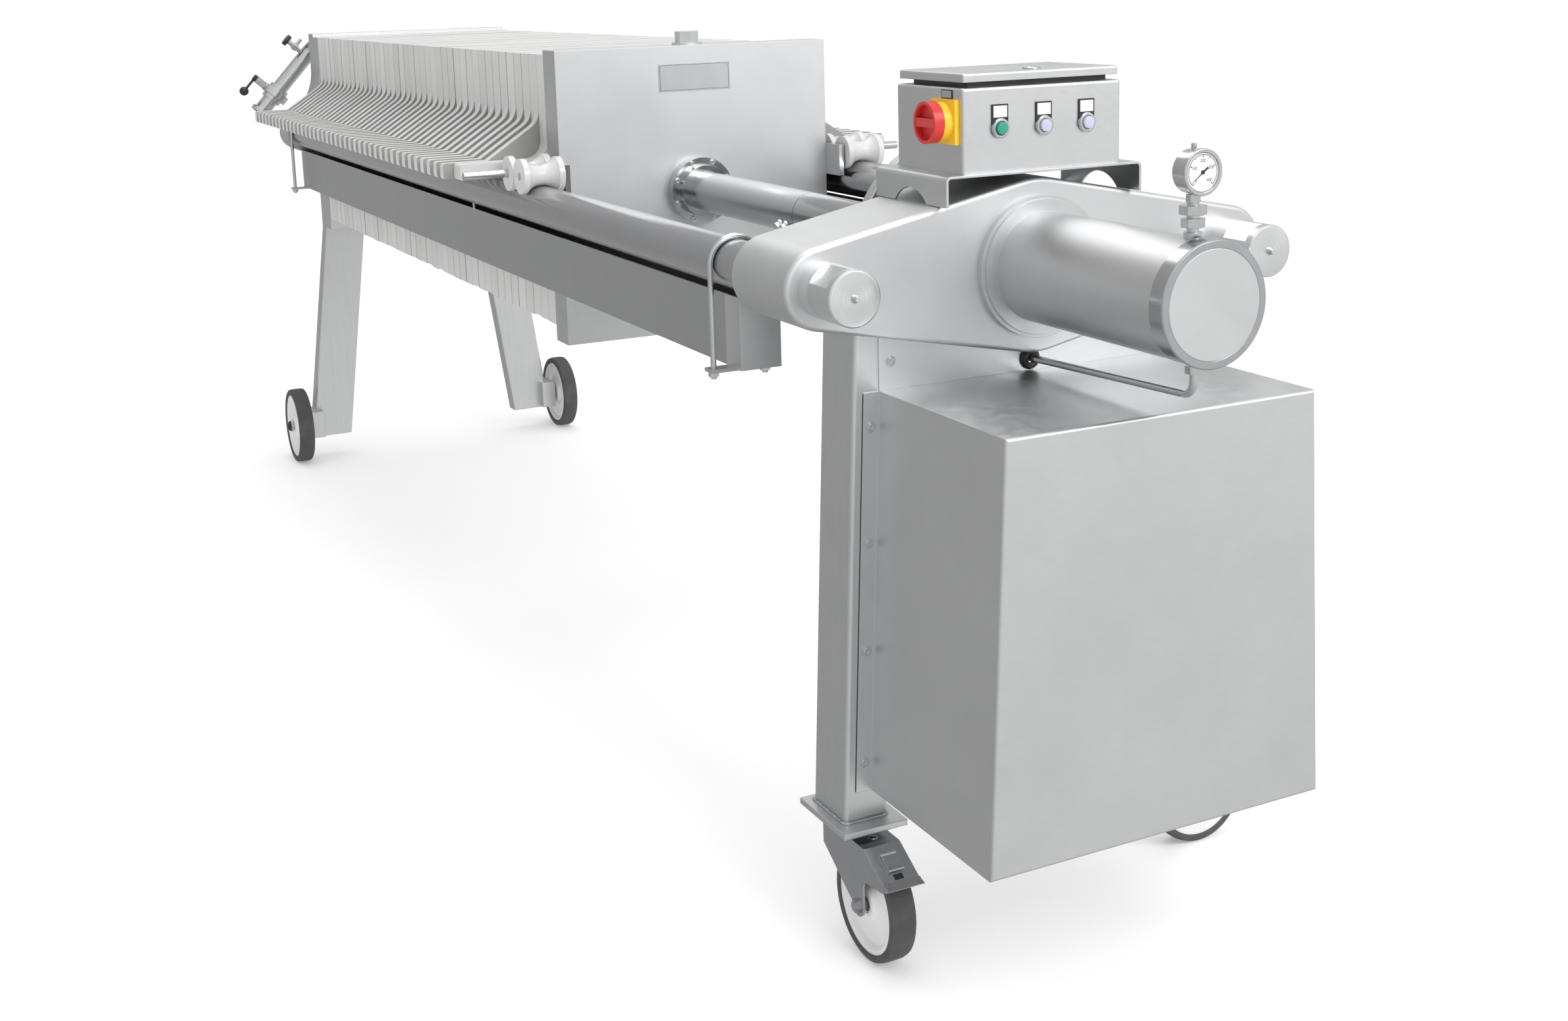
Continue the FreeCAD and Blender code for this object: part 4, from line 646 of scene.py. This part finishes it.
# ---- brake pedals and crown studs of the front casters ----
TRAIL, FORK_HALF, CROWN_Z = 0.075, 0.0335, 0.2062
BEND, LIP_DROP, LIP_REACH = TRAIL + 0.023, 0.040, 0.070
for side, swivel, ahead in (("left", Vector((1.6922, -0.3205, 0)), X_AXIS), ("right", Vector((1.6922, 0.3205, 0)), Y_AXIS)):
    across = Z_AXIS.cross(ahead)
    down = (ahead * LIP_REACH - Z_AXIS * LIP_DROP).normalized()
    out = down.cross(across)
    start = swivel + ahead * BEND + Z_AXIS * CROWN_Z
    slope = Matrix.Translation(start - across * 0.013) @ Matrix(
        ((down.x, out.x, across.x, 0), (down.y, out.y, across.y, 0), (down.z, out.z, across.z, 0), (0, 0, 0, 1)))
    pedal = Shape()
    pedal.prism([(0.020, 0.0004), (0.050, 0.0004), (0.050, 0.0042), (0.020, 0.0042)], 0.026, slope, 0.001)
    for along in (0.0195, 0.0505):
        pedal.tube([start + down * along + out * 0.0032 - across * 0.014,
                    start + down * along + out * 0.0032 + across * 0.014], 0.0036, 16)
    lip = Matrix.Translation(-across * (FORK_HALF - 0.013)) @ slope
    pedal.prism([(0.072, 0.0004), (0.0800, 0.0012), (0.0885, 0.0042), (0.0885, 0.0064), (0.0795, 0.0034),
                 (0.072, 0.0026)], FORK_HALF * 2, lip, 0.0005)
    pedal.lathe([(0.0075, 0), (0.0065, 0.0012), (0.0035, 0.002), (0, 0.0022)], swivel + ahead * 0.070 + Z_AXIS * CROWN_Z,
                Z_AXIS, 24)
    pedal.make(f"brake_pedal_{side}", zinc, f"caster_{side}", "zinc_steel")
    # painted shade: a thin black plate stands for the dark inside the slot by the pedal
    slot_place = Matrix.Translation(across * 0.005) @ slope
    Shape().prism([(0.057, 0.0001), (0.067, 0.0001), (0.067, 0.0005), (0.057, 0.0005)], 0.016, slot_place).make(
        f"pedal_slot_shade_{side}", black, f"caster_{side}", "black_plastic")

# ---- end sleeves and clips of the gutters, and painted shade strips along the cover's flanges ----
GUTTER_FRONT, GUTTER_OUT, GUTTER_IN, GUTTER_LOW, GUTTER_HIGH = 1.4992, 0.408, 0.3355, 0.950, 1.072
for side, sign in (("left", -1), ("right", 1)):
    sleeve = Shape()
    section = [(GUTTER_IN - 0.0012, GUTTER_HIGH), (GUTTER_IN - 0.0012, GUTTER_LOW - 0.0012),
               (GUTTER_OUT + 0.0012, GUTTER_LOW - 0.0012), (GUTTER_OUT + 0.0012, GUTTER_HIGH),
               (GUTTER_OUT + 0.0001, GUTTER_HIGH), (GUTTER_OUT + 0.0001, GUTTER_LOW - 0.0001),
               (GUTTER_IN - 0.0001, GUTTER_LOW - 0.0001), (GUTTER_IN - 0.0001, GUTTER_HIGH)]
    along_x = Matrix(((0, 0, 1, GUTTER_FRONT - 0.056), (1, 0, 0, 0), (0, 1, 0, 0), (0, 0, 0, 1)))
    sleeve.prism([(y * sign, z) for y, z in section], 0.0562, along_x)
    ends = sorted(((GUTTER_IN - 0.0012) * sign, (GUTTER_OUT + 0.0012) * sign))
    sleeve.box((GUTTER_FRONT + 0.0001, ends[0], GUTTER_LOW - 0.0012), (GUTTER_FRONT + 0.0014, ends[1], GUTTER_HIGH), 0.0005)
    sleeve.make(f"gutter_end_{side}", sheet, FRAME_BODY, "sheet_steel")
    clip = Matrix(((0, 0, 1, 0.014), (1, 0, 0, 0), (0, 1, 0, 0), (0, 0, 0, 1)))
    Shape().prism([(y * sign, z) for y, z in ((0.4065, 1.0690), (0.4092, 1.0690), (0.4110, 1.0870), (0.4083, 1.0870))],
                  0.013, clip, 0.0004).make(f"gutter_clip_{side}", stainless, FRAME_BODY, "stainless")
    # painted shade: a thin black tube along each outer edge of the cover's flanges stands for the shadow line where the
    # flange stands proud of the pillar
    shade_strip = Shape()
    shade_strip.tube([(cover_low.x - 0.0002, 0.3395 * sign, 0.282), (cover_low.x - 0.0002, 0.3115 * sign, 0.944)], 0.0009, 8)
    shade_strip.make(f"flange_shade_strip_{side}", black, FRAME_BODY, "black_plastic")

# ---- studio ----
def plain(name, color, rough=0.9):
    shade = Shader(name)
    cloud = shade.noise(0.6, 2.0)
    shade.surface(Base_Color=shade.tinted(color, shade.spread(cloud, 0.995, 1.003)), Roughness=rough,
                  Specular_IOR_Level=0.1, Emission_Color=(1.0, 1.0, 1.0, 1.0), Emission_Strength=0.24)
    return shade.material


floor_mesh = bpy.data.meshes.new("floor")
FLOOR_REACH = 60.0
floor_mesh.from_pydata([(-FLOOR_REACH, -FLOOR_REACH, 0), (FLOOR_REACH, -FLOOR_REACH, 0),
                        (FLOOR_REACH, FLOOR_REACH, 0), (-FLOOR_REACH, FLOOR_REACH, 0)], [], [(0, 1, 2, 3)])
floor = bpy.data.objects.new("floor", floor_mesh)
scene.collection.objects.link(floor)
floor_mesh.materials.append(plain("floor_white", (0.93, 0.93, 0.93)))
floor.visible_glossy = False

world = bpy.data.worlds.new("studio")
scene.world = world
world.use_nodes = True
tree = world.node_tree
tree.nodes.clear()


def world_node(kind, inputs=None, **settings):
    node = tree.nodes.new(kind)
    for key, value in settings.items():
        setattr(node, key, value)
    for key, value in (inputs or {}).items():
        if isinstance(value, bpy.types.NodeSocket):
            tree.links.new(value, node.inputs[key])
        else:
            node.inputs[key].default_value = value
    return node


direction = world_node("ShaderNodeTexCoord").outputs["Generated"]
side = world_node("ShaderNodeVectorMath", {0: direction, 1: (0.86, 0.50, 0.0)}, operation="DOT_PRODUCT")
height = world_node("ShaderNodeSeparateXYZ", {0: direction}).outputs[2]
sideways = world_node("ShaderNodeMapRange", {"Value": side.outputs["Value"], "From Min": -1.0, "From Max": 1.0,
                                             "To Min": 0.46, "To Max": 0.98}).outputs[0]
upward = world_node("ShaderNodeMapRange", {"Value": height, "From Min": -1.0, "From Max": 1.0,
                                           "To Min": 0.70, "To Max": 1.24}).outputs[0]
level = world_node("ShaderNodeMath", {0: sideways, 1: upward}, operation="MULTIPLY").outputs[0]
lit = world_node("ShaderNodeBackground", {"Color": level, "Strength": 1.0})
seen = world_node("ShaderNodeBackground", {"Color": (1, 1, 1, 1), "Strength": 1.0})
ray = world_node("ShaderNodeLightPath")
both = world_node("ShaderNodeMixShader", {0: ray.outputs["Is Camera Ray"], 1: lit.outputs[0], 2: seen.outputs[0]})
world_node("ShaderNodeOutputWorld", {"Surface": both.outputs[0]})


def softbox(name, place, target, width, height, power):
    data = bpy.data.lights.new(name, "AREA")
    data.shape = "RECTANGLE"
    data.size = width
    data.size_y = height
    data.energy = power
    lamp = bpy.data.objects.new(name, data)
    lamp.location = place
    lamp.rotation_euler = (Vector(target) - Vector(place)).to_track_quat("-Z", "Y").to_euler()
    scene.collection.objects.link(lamp)


softbox("key_light", (5.5, 1.5, 4.0), (0.6, 0.0, 0.9), 3.5, 2.5, 125)
softbox("top_light", (-0.4, 0.1, 5.0), (-0.4, 0.0, 1.0), 6.0, 2.2, 80)

# ---- camera ----
YAW, PITCH_DOWN, ROLL = math.radians(26.262), math.radians(10.805), -0.0274
forward = Vector((-math.cos(YAW) * math.cos(PITCH_DOWN), math.sin(YAW) * math.cos(PITCH_DOWN), -math.sin(PITCH_DOWN)))
right = forward.cross(Z_AXIS).normalized()
up = right.cross(forward)
right_rolled = right * math.cos(ROLL) + up * math.sin(ROLL)
up_rolled = up * math.cos(ROLL) - right * math.sin(ROLL)
camera_data = bpy.data.cameras.new("camera")
camera_data.lens = 41.38
camera_data.sensor_width = 36.0
camera_data.shift_y = -0.12
camera_data.clip_end = 200.0
camera = bpy.data.objects.new("camera", camera_data)
camera.matrix_world = Matrix((
    (right_rolled.x, up_rolled.x, -forward.x, 4.1600), (right_rolled.y, up_rolled.y, -forward.y, -1.6400),
    (right_rolled.z, up_rolled.z, -forward.z, 1.5889), (0, 0, 0, 1)))
scene.collection.objects.link(camera)
scene.camera = camera
scene.view_settings.view_transform = "Standard"
scene.view_settings.look = "None"
